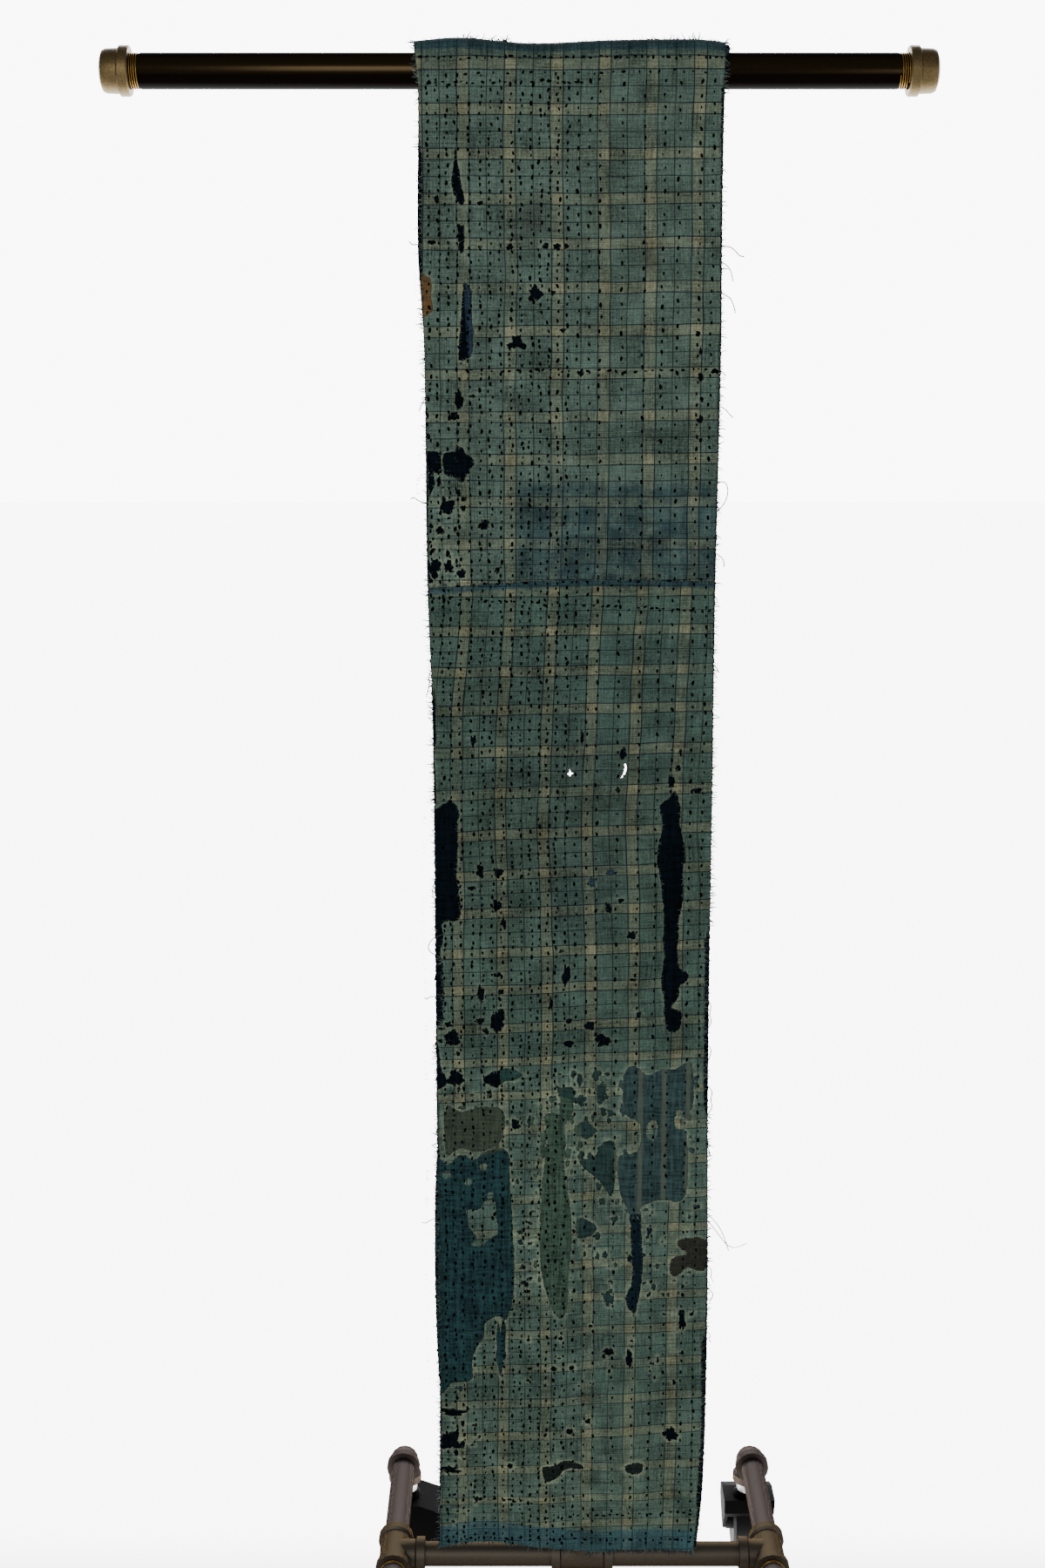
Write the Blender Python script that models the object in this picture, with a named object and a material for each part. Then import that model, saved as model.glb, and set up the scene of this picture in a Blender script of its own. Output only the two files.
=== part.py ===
"""A long patched cotton cloth hanging face on from a T-shaped stand of screwed steel pipe on casters.

Metres, +Z up. The origin is on the floor below the middle of the bar, and the cloth's face looks along -Y.
"""

import math

import bmesh
import bpy
from mathutils import Matrix, Vector

for old in list(bpy.data.objects):
    bpy.data.objects.remove(old)

# Driving dimensions of the stand.
GAP = 0.0003
BAR_HEIGHT = 1.690
BAR_LENGTH = 0.762
BAR_OUTER_R = 0.0167
BAR_INNER_R = 0.0133
CAP_END_X = 0.394
PIPE_OUTER_R = 0.01335
PIPE_INNER_R = 0.0105
BASE_HEIGHT = 0.140
POST_X = 0.068
TRACK_HALF = 0.205
RAIL_REACH = 0.212
FITTING_REACH = 0.0333
FITTING_BODY_R = 0.0165
FITTING_BAND_R = 0.0193
BAND_WIDTH = 0.009
SOCKET_DEPTH = 0.0135
ELBOW_BEND_R = 0.0195
ELBOW_STEPS = 5
PIPE_SIDES = 16
BAR_SIDES = 24

# Casters.
WHEEL_R = 0.0375
WHEEL_HALF_WIDTH = 0.017
HUB_HALF_WIDTH = 0.0240
WHEEL_SIDES = 24
AXLE_HEIGHT = WHEEL_R * math.cos(math.pi / WHEEL_SIDES)
AXLE_R = 0.004
TRAIL = 0.027
FORK_INNER_HALF = 0.0245
FORK_TOP_HALF = 0.0300
FORK_FOOT_HALF = 0.0275
FORK_HEAD_TOP = 0.0940

# The cloth: two plaid front panels joined at a cross seam, over the bar, on a backing that is pieced the same way.
SHEET = 0.001
BACKING_DEPTH = 0.0
FACE_DEPTH = BACKING_DEPTH + SHEET + GAP
FRONT_R = 0.0225
TAIL_LENGTH = 0.080
OVER_BAR = 0.075
ROW_STEP = 0.060
COLUMNS = 10
SHORTEST_ROW = 0.020

# Side edges of the cloth: drop below the bar's axis, left edge, right edge.
SIDES = (
    (-0.075, -0.1000, 0.1980),
    (-0.030, -0.1000, 0.1980),
    (0.000, -0.0965, 0.1945),
    (0.022, -0.0945, 0.1916),
    (0.165, -0.0960, 0.1918),
    (0.250, -0.0912, 0.1928),
    (0.480, -0.0900, 0.1914),
    (0.590, -0.0867, 0.1918),
    (0.680, -0.0857, 0.1925),
    (0.860, -0.0856, 0.1930),
    (1.050, -0.0855, 0.1945),
    (1.250, -0.0843, 0.1978),
    (1.450, -0.0860, 0.1965),
    (1.535, -0.0876, 0.1900),
)

# How high the cloth's inner side rises over the bar's axis: share of the width from the left, height.
CREST = (
    (0.00, 0.0246),
    (0.14, 0.0277),
    (0.37, 0.0226),
    (0.62, 0.0253),
    (0.90, 0.0261),
    (1.00, 0.0230),
)

# The cross seam and the lower end: share of the width from the left, drop below the bar's axis.
SEAM = ((0.0, 0.4847), (0.5, 0.4762), (1.0, 0.4779))
BACKING_SEAM_OVER = 0.012
HEM = (
    (0.00, 1.5254),
    (0.10, 1.5192),
    (0.23, 1.5192),
    (0.40, 1.5243),
    (0.61, 1.5306),
    (0.74, 1.5275),
    (1.00, 1.5296),
)

# Soft upright folds: share of the width from the left, half width as a share, how far forward at the end.
FOLDS = ((0.10, 0.09, 0.0016), (0.40, 0.15, 0.0034), (0.72, 0.13, 0.0028), (0.96, 0.07, 0.0018))
FOLD_START = 0.45
SWAY = 0.0012
SWAY_LENGTH = 0.80


def material(name, colour, roughness, metallic):
    made = bpy.data.materials.new(name)
    made.use_nodes = True
    shader = made.node_tree.nodes["Principled BSDF"]
    shader.inputs["Base Color"].default_value = (*colour, 1.0)
    shader.inputs["Roughness"].default_value = roughness
    shader.inputs["Metallic"].default_value = metallic
    return made


LACQUER = material("black_lacquered_pipe", (0.008, 0.007, 0.006), 0.25, 0.0)
CAST_IRON = material("cast_malleable_iron", (0.105, 0.083, 0.055), 0.55, 0.8)
BASE_PIPE = material("oiled_steel_pipe", (0.105, 0.080, 0.070), 0.50, 0.8)
ZINC = material("zinc_plated_stem", (0.62, 0.63, 0.60), 0.30, 1.0)
CASTER_BLACK = material("black_caster_fork", (0.012, 0.012, 0.014), 0.35, 0.0)
RUBBER = material("black_caster_wheel", (0.015, 0.015, 0.015), 0.60, 0.0)
PLAID = material("faded_indigo_plaid", (0.075, 0.125, 0.105), 0.90, 0.0)
PLAID_LOWER = material("faded_indigo_plaid_lower", (0.075, 0.120, 0.105), 0.90, 0.0)
INDIGO = material("dark_indigo_backing", (0.006, 0.012, 0.020), 0.95, 0.0)


def finish(name, mesh, surface, place=None, smooth=True):
    """Links a mesh as one named piece, shaded smooth except at its edges."""
    piece = bpy.data.objects.new(name, mesh)
    bpy.context.scene.collection.objects.link(piece)
    mesh.materials.clear()
    mesh.materials.append(surface)
    if smooth:
        mesh.shade_smooth()
        mesh.set_sharp_from_angle(angle=math.radians(35))
    if place is not None:
        piece.matrix_world = place
    return piece


def mesh_from(bm):
    """Turns a bmesh into a mesh with its faces pointing outwards."""
    bmesh.ops.recalc_face_normals(bm, faces=bm.faces)
    mesh = bpy.data.meshes.new("shape")
    bm.to_mesh(mesh)
    bm.free()
    return mesh


def straight(station):
    """A path along +Z."""
    return Vector((0, 0, station)), Vector((1, 0, 0)), Vector((0, 1, 0))


def swept(outline, sides, path=straight, turn=0.0):
    """Carries a ring along a path. Each outline point is (station on the path, radius).

    An outline that starts and ends on the path's line is closed by its two poles. Any other outline is a
    loop, and makes a tube.
    """
    bm = bmesh.new()
    rings = []
    for station, radius in outline:
        centre, across, up = path(station)
        if radius == 0:
            rings.append([bm.verts.new(centre)])
            continue
        ring = []
        for k in range(sides):
            angle = 2 * math.pi * k / sides + turn
            ring.append(bm.verts.new(centre + radius * (math.cos(angle) * across + math.sin(angle) * up)))
        rings.append(ring)
    looped = len(rings[0]) > 1
    pairs = list(zip(rings, rings[1:]))
    if looped:
        pairs.append((rings[-1], rings[0]))
    for low, high in pairs:
        for k in range(sides):
            after = (k + 1) % sides
            if len(low) == 1:
                bm.faces.new((low[0], high[k], high[after]))
            elif len(high) == 1:
                bm.faces.new((low[k], high[0], low[after]))
            else:
                bm.faces.new((low[k], high[k], high[after], low[after]))
    return mesh_from(bm)


def extruded(outline, half_low, half_high, low, high):
    """A flat outline of (along, height) points made solid across X, tapering from half_low to half_high."""
    bm = bmesh.new()
    sides = []
    for sign in (-1, 1):
        ring = []
        for along, height in outline:
            share = (height - low) / (high - low)
            half = half_low + (half_high - half_low) * share
            ring.append(bm.verts.new((sign * half, along, height)))
        sides.append(ring)
    bm.faces.new(sides[0])
    bm.faces.new(sides[1])
    count = len(outline)
    for k in range(count):
        after = (k + 1) % count
        bm.faces.new((sides[0][k], sides[0][after], sides[1][after], sides[1][k]))
    return mesh_from(bm)


def carved(base, *steps):
    """Joins or cuts meshes in turn, each step being (operation, mesh), and returns the result as a mesh."""
    piece = bpy.data.objects.new("blank", base)
    bpy.context.scene.collection.objects.link(piece)
    tools = []
    for operation, mesh in steps:
        tool = bpy.data.objects.new("tool", mesh)
        bpy.context.scene.collection.objects.link(tool)
        tool.hide_render = True
        tool.display_type = "WIRE"
        cut = piece.modifiers.new(operation, "BOOLEAN")
        cut.operation = operation
        cut.solver = "EXACT"
        cut.object = tool
        tools.append(tool)
    graph = bpy.context.evaluated_depsgraph_get()
    made = bpy.data.meshes.new_from_object(piece.evaluated_get(graph))
    for spare in [piece, *tools]:
        bpy.data.objects.remove(spare)
    return made


def aimed(origin, direction):
    """Places a shape made along +Z so that it starts at origin and runs in direction."""
    return Matrix.Translation(origin) @ Vector(direction).to_track_quat("Z", "Y").to_matrix().to_4x4()


def table_at(table, key, column=1):
    """Reads a table at key, in straight runs between its rows."""
    if key <= table[0][0]:
        return table[0][column]
    for low, high in zip(table, table[1:]):
        if key <= high[0]:
            share = (key - low[0]) / (high[0] - low[0])
            return low[column] + share * (high[column] - low[column])
    return table[-1][column]


# --- The pipes ------------------------------------------------------------------------------------


def pipe(name, start, end, surface):
    run = Vector(end) - Vector(start)
    outline = (
        (0, PIPE_INNER_R),
        (0, PIPE_OUTER_R),
        (run.length, PIPE_OUTER_R),
        (run.length, PIPE_INNER_R),
    )
    return finish(name, swept(outline, PIPE_SIDES), surface, aimed(start, run))


def bar():
    """The pipe that the cloth hangs from, threaded at both ends."""
    half = BAR_LENGTH / 2
    thread_length = 0.025
    thread_r = 0.0162
    outline = (
        (-half, BAR_INNER_R),
        (-half, thread_r),
        (-half + thread_length, thread_r),
        (-half + thread_length + 0.001, BAR_OUTER_R),
        (half - thread_length - 0.001, BAR_OUTER_R),
        (half - thread_length, thread_r),
        (half, thread_r),
        (half, BAR_INNER_R),
    )
    place = aimed((0, 0, BAR_HEIGHT), (1, 0, 0))
    finish("bar", swept(outline, BAR_SIDES), LACQUER, place)


def cap(name, side):
    """A domed cast cap with a banded mouth, open towards the bar."""
    length = 0.0285
    body_r = 0.0205
    band_r = 0.0233
    band = 0.0106
    bore_r = BAR_OUTER_R + GAP
    inside = length - 0.0050
    outline = (
        (0, bore_r),
        (0, band_r - 0.0008),
        (0.0010, band_r),
        (band - 0.0015, band_r),
        (band, body_r + 0.0004),
        (length - 0.0065, body_r),
        (length - 0.0028, body_r - 0.0016),
        (length - 0.0008, body_r - 0.0068),
        (length, 0),
    )
    hollow = ((inside, 0), (inside, bore_r))
    place = aimed((side * (CAP_END_X - length), 0, BAR_HEIGHT), (side, 0, 0))
    finish(name, swept(hollow + outline, BAR_SIDES), CAST_IRON, place)


# --- The fittings ---------------------------------------------------------------------------------


def half_run(reach, body_r, band_r):
    """The outside of one fitting mouth, from its end inwards."""
    return (
        (reach, band_r),
        (reach - BAND_WIDTH, band_r),
        (reach - BAND_WIDTH - 0.0015, body_r),
    )


def tee_mesh(reach, body_r, band_r, run_bore, leg_bore, through):
    """A tee with its run along X and its leg along +Z. Each mouth has a socket, and they all meet inside."""
    mouth = half_run(reach, body_r, band_r)
    far_side = tuple((-station, radius) for station, radius in mouth)
    run_outline = ((-reach, 0), *far_side, *reversed(mouth), (reach, 0))
    slimmer = 0.0006
    leg_mouth = half_run(reach, body_r - slimmer, band_r - slimmer)
    leg_outline = ((0, 0), (0, body_r - slimmer), *reversed(leg_mouth), (reach, 0))
    past = reach + 0.005
    step = reach - SOCKET_DEPTH
    run_cut = (
        (-past, 0),
        (-past, run_bore),
        (-step, run_bore),
        (-step, through),
        (step, through),
        (step, run_bore),
        (past, run_bore),
        (past, 0),
    )
    leg_cut = ((0, 0), (0, PIPE_INNER_R), (step, PIPE_INNER_R), (step, leg_bore), (past, leg_bore), (past, 0))
    along_x = Matrix.Rotation(math.pi / 2, 4, "Y")
    run = swept(run_outline, PIPE_SIDES)
    run.transform(along_x)
    run_tool = swept(run_cut, PIPE_SIDES)
    run_tool.transform(along_x)
    return carved(
        run,
        ("UNION", swept(leg_outline, PIPE_SIDES)),
        ("DIFFERENCE", run_tool),
        ("DIFFERENCE", swept(leg_cut, PIPE_SIDES)),
    )


def elbow_path(station):
    """Down-turned quarter bend: along +Y, then round and down -Z."""
    straight_part = FITTING_REACH - ELBOW_BEND_R
    arc = ELBOW_BEND_R * math.pi / 2
    side = Vector((1, 0, 0))
    if station <= straight_part:
        return Vector((0, station - FITTING_REACH, 0)), side, Vector((0, 0, 1))
    if station <= straight_part + arc:
        turn = (station - straight_part) / ELBOW_BEND_R
        centre = Vector((0, -ELBOW_BEND_R, -ELBOW_BEND_R))
        out = Vector((0, math.sin(turn), math.cos(turn)))
        return centre + ELBOW_BEND_R * out, side, out
    down = station - straight_part - arc
    return Vector((0, 0, -ELBOW_BEND_R - down)), side, Vector((0, 1, 0))


def elbow_mesh():
    """A quarter-bend fitting whose two mouths have bands and sockets."""
    straight_part = FITTING_REACH - ELBOW_BEND_R
    arc = ELBOW_BEND_R * math.pi / 2
    total = 2 * straight_part + arc
    bend = [straight_part + arc * k / ELBOW_STEPS for k in range(ELBOW_STEPS + 1)]
    socket_r = PIPE_OUTER_R + GAP
    outer = [(0, FITTING_BAND_R), (BAND_WIDTH, FITTING_BAND_R), (BAND_WIDTH + 0.0015, FITTING_BODY_R)]
    outer += [(station, FITTING_BODY_R) for station in bend]
    outer += [
        (total - BAND_WIDTH - 0.0015, FITTING_BODY_R),
        (total - BAND_WIDTH, FITTING_BAND_R),
        (total, FITTING_BAND_R),
    ]
    inner = [(total, socket_r), (total - SOCKET_DEPTH, socket_r)]
    inner += [(station, PIPE_INNER_R) for station in reversed(bend)]
    inner += [(SOCKET_DEPTH, socket_r), (0, socket_r)]
    return swept(outer + inner, PIPE_SIDES, elbow_path)


# --- The casters ----------------------------------------------------------------------------------


def stem(name, place):
    """The zinc-plated stem: a shank up in the elbow and a collar below it."""
    shank_r = 0.0098
    collar_r = 0.0145
    mouth = BASE_HEIGHT - FITTING_REACH
    bottom = FORK_HEAD_TOP + GAP
    outline = (
        (bottom, 0),
        (bottom, collar_r - 0.001),
        (bottom + 0.001, collar_r),
        (mouth - GAP, collar_r),
        (mouth - GAP, shank_r),
        (mouth + 0.010, shank_r),
        (mouth + 0.010, 0),
    )
    finish(name, swept(outline, 16), ZINC, place)


def fork_mesh():
    """A hooded fork that trails along +Y: a head on the swivel axis and two arms down to the axle."""
    top = 0.0880
    foot = 0.0270
    shape = (
        (-0.0175, top),
        (0.0175, top),
        (0.0400, 0.0800),
        (0.0500, 0.0600),
        (0.0435, 0.0440),
        (TRAIL + 0.0070, 0.0300),
        (TRAIL, foot),
        (TRAIL - 0.0070, 0.0300),
        (0.0080, 0.0460),
        (-0.0160, 0.0700),
    )
    wheel_room_r = 0.0405
    arch = [(TRAIL + wheel_room_r, 0.0), (TRAIL + wheel_room_r, AXLE_HEIGHT)]
    for k in range(1, 12):
        angle = math.pi * k / 12
        arch.append((TRAIL + wheel_room_r * math.cos(angle), AXLE_HEIGHT + wheel_room_r * math.sin(angle)))
    arch += [(TRAIL - wheel_room_r, AXLE_HEIGHT), (TRAIL - wheel_room_r, 0.0)]
    room = extruded(arch, FORK_INNER_HALF, FORK_INNER_HALF, 0.0, top)
    head = swept(
        ((0.080, 0), (0.080, 0.0185), (0.0900, 0.0185), (FORK_HEAD_TOP, 0.0150), (FORK_HEAD_TOP, 0)), 16
    )
    axle_half = FORK_FOOT_HALF - 0.0005
    axle = swept(((-axle_half, 0), (-axle_half, AXLE_R), (axle_half, AXLE_R), (axle_half, 0)), 12)
    axle.transform(Matrix.Translation((0, TRAIL, AXLE_HEIGHT)) @ Matrix.Rotation(math.pi / 2, 4, "Y"))
    return carved(
        extruded(shape, FORK_FOOT_HALF, FORK_TOP_HALF, foot, top),
        ("DIFFERENCE", room),
        ("UNION", head),
        ("UNION", axle),
    )


def wheel_mesh():
    """A wheel that turns about X, with a flat facet straight down and a bore for the axle."""
    bore_r = AXLE_R + GAP
    hub_r = 0.0110
    rim_r = 0.0320
    tread = WHEEL_HALF_WIDTH - 0.003
    profile = (
        (-HUB_HALF_WIDTH, bore_r),
        (-HUB_HALF_WIDTH, hub_r),
        (-WHEEL_HALF_WIDTH + 0.003, hub_r),
        (-WHEEL_HALF_WIDTH, rim_r),
        (-tread, WHEEL_R),
        (tread, WHEEL_R),
        (WHEEL_HALF_WIDTH, rim_r),
        (WHEEL_HALF_WIDTH - 0.003, hub_r),
        (HUB_HALF_WIDTH, hub_r),
        (HUB_HALF_WIDTH, bore_r),
    )
    mesh = swept(profile, WHEEL_SIDES, turn=math.pi / WHEEL_SIDES)
    mesh.transform(Matrix.Rotation(math.pi / 2, 4, "Y"))
    return mesh


# --- The cloth ------------------------------------------------------------------------------------


def cloth_point(across, along, depth):
    """A point of the hanging cloth.

    across is the share of the width from the left, along is the distance down the front from the bar's
    axis, less than zero over the bar and down the back, and depth is the distance out from the inner side.
    """
    drop = along if along >= 0 else max(along, -OVER_BAR)
    left = table_at(SIDES, drop, 1)
    right = table_at(SIDES, drop, 2)
    x = left + across * (right - left)
    if along >= 0:
        share = min(1.0, along / FOLD_START)
        forward = sum(rise * math.exp(-(((across - mid) / half) ** 2)) for mid, half, rise in FOLDS)
        swing = SWAY * (1 - math.cos(2 * math.pi * along / SWAY_LENGTH))
        return Vector((x, -FRONT_R - depth - share * forward - swing, BAR_HEIGHT - along))
    if along >= -OVER_BAR:
        angle = -along / OVER_BAR * math.pi
        rise = (table_at(CREST, across) + depth) * math.sin(angle)
        return Vector((x, -(FRONT_R + depth) * math.cos(angle), BAR_HEIGHT + rise))
    return Vector((x, FRONT_R + depth, BAR_HEIGHT + along + OVER_BAR))


def cloth_stations():
    """The rows of the cloth's mesh, from the end of the tail over the bar and down the front."""
    arc_steps = 8
    rows = [-OVER_BAR - TAIL_LENGTH, -OVER_BAR - TAIL_LENGTH / 2]
    rows += [-OVER_BAR * (arc_steps - k) / arc_steps for k in range(arc_steps)]
    front_rows = int(HEM[0][1] / ROW_STEP) + 1
    rows += [ROW_STEP * k for k in range(front_rows)]
    return rows


def cloth_sheet(name, start, end, depth, inset, surface):
    """One sheet of the cloth between two edges, each a number or a table read across the width."""
    shares = [k / COLUMNS for k in range(COLUMNS + 1)]
    shares[0] = inset[0]
    shares[-1] = 1 - inset[1]
    edge_at = [(table_at(start, s), table_at(end, s)) for s in shares]
    latest_start = max(first for first, last in edge_at) + SHORTEST_ROW
    earliest_end = min(last for first, last in edge_at) - SHORTEST_ROW
    inner_rows = [row for row in cloth_stations() if latest_start < row < earliest_end]
    bm = bmesh.new()
    layers = []
    for level in (depth, depth + SHEET):
        columns = []
        for share, (first, last) in zip(shares, edge_at):
            stations = [first, *inner_rows, last]
            columns.append([bm.verts.new(cloth_point(share, row, level)) for row in stations])
        layers.append(columns)
    count = len(inner_rows) + 2
    for columns in layers:
        for left, right in zip(columns, columns[1:]):
            for k in range(count - 1):
                bm.faces.new((left[k], left[k + 1], right[k + 1], right[k]))
    inner, outer = layers
    for low, high in ((inner[0], outer[0]), (inner[-1], outer[-1])):
        for k in range(count - 1):
            bm.faces.new((low[k], low[k + 1], high[k + 1], high[k]))
    for k in (0, count - 1):
        for c in range(COLUMNS):
            bm.faces.new((inner[c][k], inner[c + 1][k], outer[c + 1][k], outer[c][k]))
    finish(name, mesh_from(bm), surface)


def shifted(table, by):
    return tuple((share, value + by) for share, value in table)


# --- Put together ---------------------------------------------------------------------------------

bar()
cap("cap_left", -1)
cap("cap_right", 1)

BAR_TEE_REACH = 0.036
BAR_TEE_R = 0.0204
bar_tee = tee_mesh(BAR_TEE_REACH, BAR_TEE_R, BAR_TEE_R, BAR_OUTER_R + GAP, PIPE_OUTER_R + GAP, BAR_OUTER_R + GAP)
bar_tee_place = Matrix.Translation((POST_X, 0, BAR_HEIGHT)) @ Matrix.Rotation(math.pi, 4, "X")
finish("bar_tee", bar_tee, CAST_IRON, bar_tee_place)

PIPE_START = FITTING_REACH - SOCKET_DEPTH + GAP
post_top = BAR_HEIGHT - BAR_TEE_REACH + SOCKET_DEPTH - GAP
pipe("post", (POST_X, 0, BASE_HEIGHT + PIPE_START), (POST_X, 0, post_top), BASE_PIPE)

fitting_tee = tee_mesh(
    FITTING_REACH, FITTING_BODY_R, FITTING_BAND_R, PIPE_OUTER_R + GAP, PIPE_OUTER_R + GAP, PIPE_INNER_R
)
finish("base_tee", fitting_tee, BASE_PIPE, Matrix.Translation((POST_X, 0, BASE_HEIGHT)))

elbow = elbow_mesh()
fork = fork_mesh()
wheel = wheel_mesh()

for side_name, side in (("left", -1), ("right", 1)):
    track_x = POST_X + side * TRACK_HALF
    cross_start = (POST_X + side * PIPE_START, 0, BASE_HEIGHT)
    pipe("cross_" + side_name, cross_start, (track_x - side * PIPE_START, 0, BASE_HEIGHT), BASE_PIPE)
    run_along_y = Matrix.Rotation(math.pi / 2, 4, "Z")
    leg_to_middle = Matrix.Rotation(-side * math.pi / 2, 4, "X")
    side_place = Matrix.Translation((track_x, 0, BASE_HEIGHT)) @ run_along_y @ leg_to_middle
    finish("side_tee_" + side_name, fitting_tee.copy(), BASE_PIPE, side_place)
    for end_name, end in (("back", 1), ("front", -1)):
        corner = end_name + "_" + side_name
        rail_start = (track_x, end * PIPE_START, BASE_HEIGHT)
        rail_end = (track_x, end * (RAIL_REACH - PIPE_START), BASE_HEIGHT)
        pipe("rail_" + corner, rail_start, rail_end, BASE_PIPE)
        facing = Matrix.Rotation(0 if end > 0 else math.pi, 4, "Z")
        corner_place = Matrix.Translation((track_x, end * RAIL_REACH, BASE_HEIGHT)) @ facing
        finish("elbow_" + corner, elbow.copy(), BASE_PIPE, corner_place)
        swivel = Matrix.Translation((track_x, end * RAIL_REACH, 0))
        stem("stem_" + corner, swivel)
        # The left back and right front wheels trail inwards, and the other two trail outwards.
        inwards = side * end < 0
        heading = side * math.pi / 2 if inwards else (0 if end > 0 else math.pi)
        steered = swivel @ Matrix.Rotation(heading, 4, "Z")
        finish("fork_" + corner, fork.copy(), CASTER_BLACK, steered)
        finish("wheel_" + corner, wheel.copy(), RUBBER, steered @ Matrix.Translation((0, TRAIL, AXLE_HEIGHT)))

TAIL_END = ((0.0, -OVER_BAR - TAIL_LENGTH), (1.0, -OVER_BAR - TAIL_LENGTH))
backing_inset = (0.0, 0.0)
backing_seam = shifted(SEAM, -BACKING_SEAM_OVER)
cloth_sheet("backing_upper", TAIL_END, shifted(backing_seam, -GAP / 2), BACKING_DEPTH, backing_inset, INDIGO)
cloth_sheet("backing_lower", shifted(backing_seam, GAP / 2), HEM, BACKING_DEPTH, backing_inset, INDIGO)
face_inset = (0.004, 0.012)
cloth_sheet("face_upper", TAIL_END, shifted(SEAM, -GAP / 2), FACE_DEPTH, face_inset, PLAID)
cloth_sheet("face_lower", shifted(SEAM, GAP / 2), shifted(HEM, 0.0012), FACE_DEPTH, face_inset, PLAID_LOWER)
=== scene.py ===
"""A boro patched cloth hung over the bar of a screwed pipe garment stand, in a white room."""

import math
import random

import bpy
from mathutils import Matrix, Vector, noise
from mathutils.bvhtree import BVHTree
from mathutils.geometry import delaunay_2d_cdt
from mathutils.kdtree import KDTree


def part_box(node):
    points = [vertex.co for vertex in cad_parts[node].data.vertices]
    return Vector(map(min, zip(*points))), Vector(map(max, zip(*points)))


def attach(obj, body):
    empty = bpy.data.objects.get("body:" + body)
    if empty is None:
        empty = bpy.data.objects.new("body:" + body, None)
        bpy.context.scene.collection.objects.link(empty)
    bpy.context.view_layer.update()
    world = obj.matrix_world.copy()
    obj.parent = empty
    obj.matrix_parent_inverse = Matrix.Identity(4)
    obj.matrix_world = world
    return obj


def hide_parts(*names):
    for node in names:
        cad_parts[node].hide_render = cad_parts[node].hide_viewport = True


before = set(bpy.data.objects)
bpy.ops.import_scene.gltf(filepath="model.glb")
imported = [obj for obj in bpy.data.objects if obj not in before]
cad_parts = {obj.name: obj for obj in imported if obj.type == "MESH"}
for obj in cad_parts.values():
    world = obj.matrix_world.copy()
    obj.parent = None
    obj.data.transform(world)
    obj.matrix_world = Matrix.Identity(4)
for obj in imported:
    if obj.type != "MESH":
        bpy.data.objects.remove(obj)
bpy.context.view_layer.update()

# --- The room -------------------------------------------------------------------------------------
# A white floor that runs into a white wall of light behind the stand. A large soft light hangs high
# in front, and a weaker one stands on the right.


def linear(hex_colour):
    """The linear colour of an sRGB hex value."""
    parts = [int(hex_colour[k : k + 2], 16) / 255 for k in (1, 3, 5)]
    return (*[p / 12.92 if p <= 0.04045 else ((p + 0.055) / 1.055) ** 2.4 for p in parts], 1.0)


def add_node(tree, kind, inputs=None, **settings):
    """A new node with its settings, its input values and the sockets that feed it."""
    node = tree.nodes.new(kind)
    for name, value in settings.items():
        setattr(node, name, value)
    for key, value in (inputs or {}).items():
        if isinstance(value, bpy.types.NodeSocket):
            tree.links.new(value, node.inputs[key])
        else:
            node.inputs[key].default_value = value
    return node


def new_finish(name, colour, roughness, metallic=0.0):
    """A material with a plain colour: the material, its node tree and its shader."""
    material = bpy.data.materials.new(name)
    material.use_nodes = True
    shader = material.node_tree.nodes["Principled BSDF"]
    shader.inputs["Base Color"].default_value = linear(colour)
    shader.inputs["Roughness"].default_value = roughness
    shader.inputs["Metallic"].default_value = metallic
    return material, material.node_tree, shader


def mesh_piece(name, points, faces, finish):
    """A new mesh object in the scene with one material."""
    mesh = bpy.data.meshes.new(name)
    mesh.from_pydata(points, [], faces)
    mesh.materials.append(finish)
    piece = bpy.data.objects.new(name, mesh)
    bpy.context.collection.objects.link(piece)
    return piece


camera_data = bpy.data.cameras.new("camera")
camera_data.lens = 50
camera_data.sensor_width = 36
camera_data.clip_end = 60
camera = bpy.data.objects.new("camera", camera_data)
camera.location = (0.003, -2.143, 1.483)
camera.rotation_euler = (math.radians(77.39), 0, 0)
bpy.context.collection.objects.link(camera)
bpy.context.scene.camera = camera

world = bpy.data.worlds.new("white room")
world.use_nodes = True
bpy.context.scene.world = world
room = world.node_tree
direction = add_node(room, "ShaderNodeTexCoord")
direction_parts = add_node(room, "ShaderNodeSeparateXYZ", {0: direction.outputs["Generated"]})
ROOM_LIGHT = 0.22
WALL_LIGHT = 9.5
wall_light = add_node(
    room,
    "ShaderNodeMapRange",
    {
        "Value": direction_parts.outputs["Y"],
        "From Min": 0.60,
        "From Max": 0.92,
        "To Min": ROOM_LIGHT,
        "To Max": WALL_LIGHT,
    },
    interpolation_type="SMOOTHSTEP",
)
room.links.new(wall_light.outputs["Result"], room.nodes["Background"].inputs["Strength"])
room.nodes["Background"].inputs["Color"].default_value = (1.0, 1.0, 1.0, 1.0)

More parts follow.
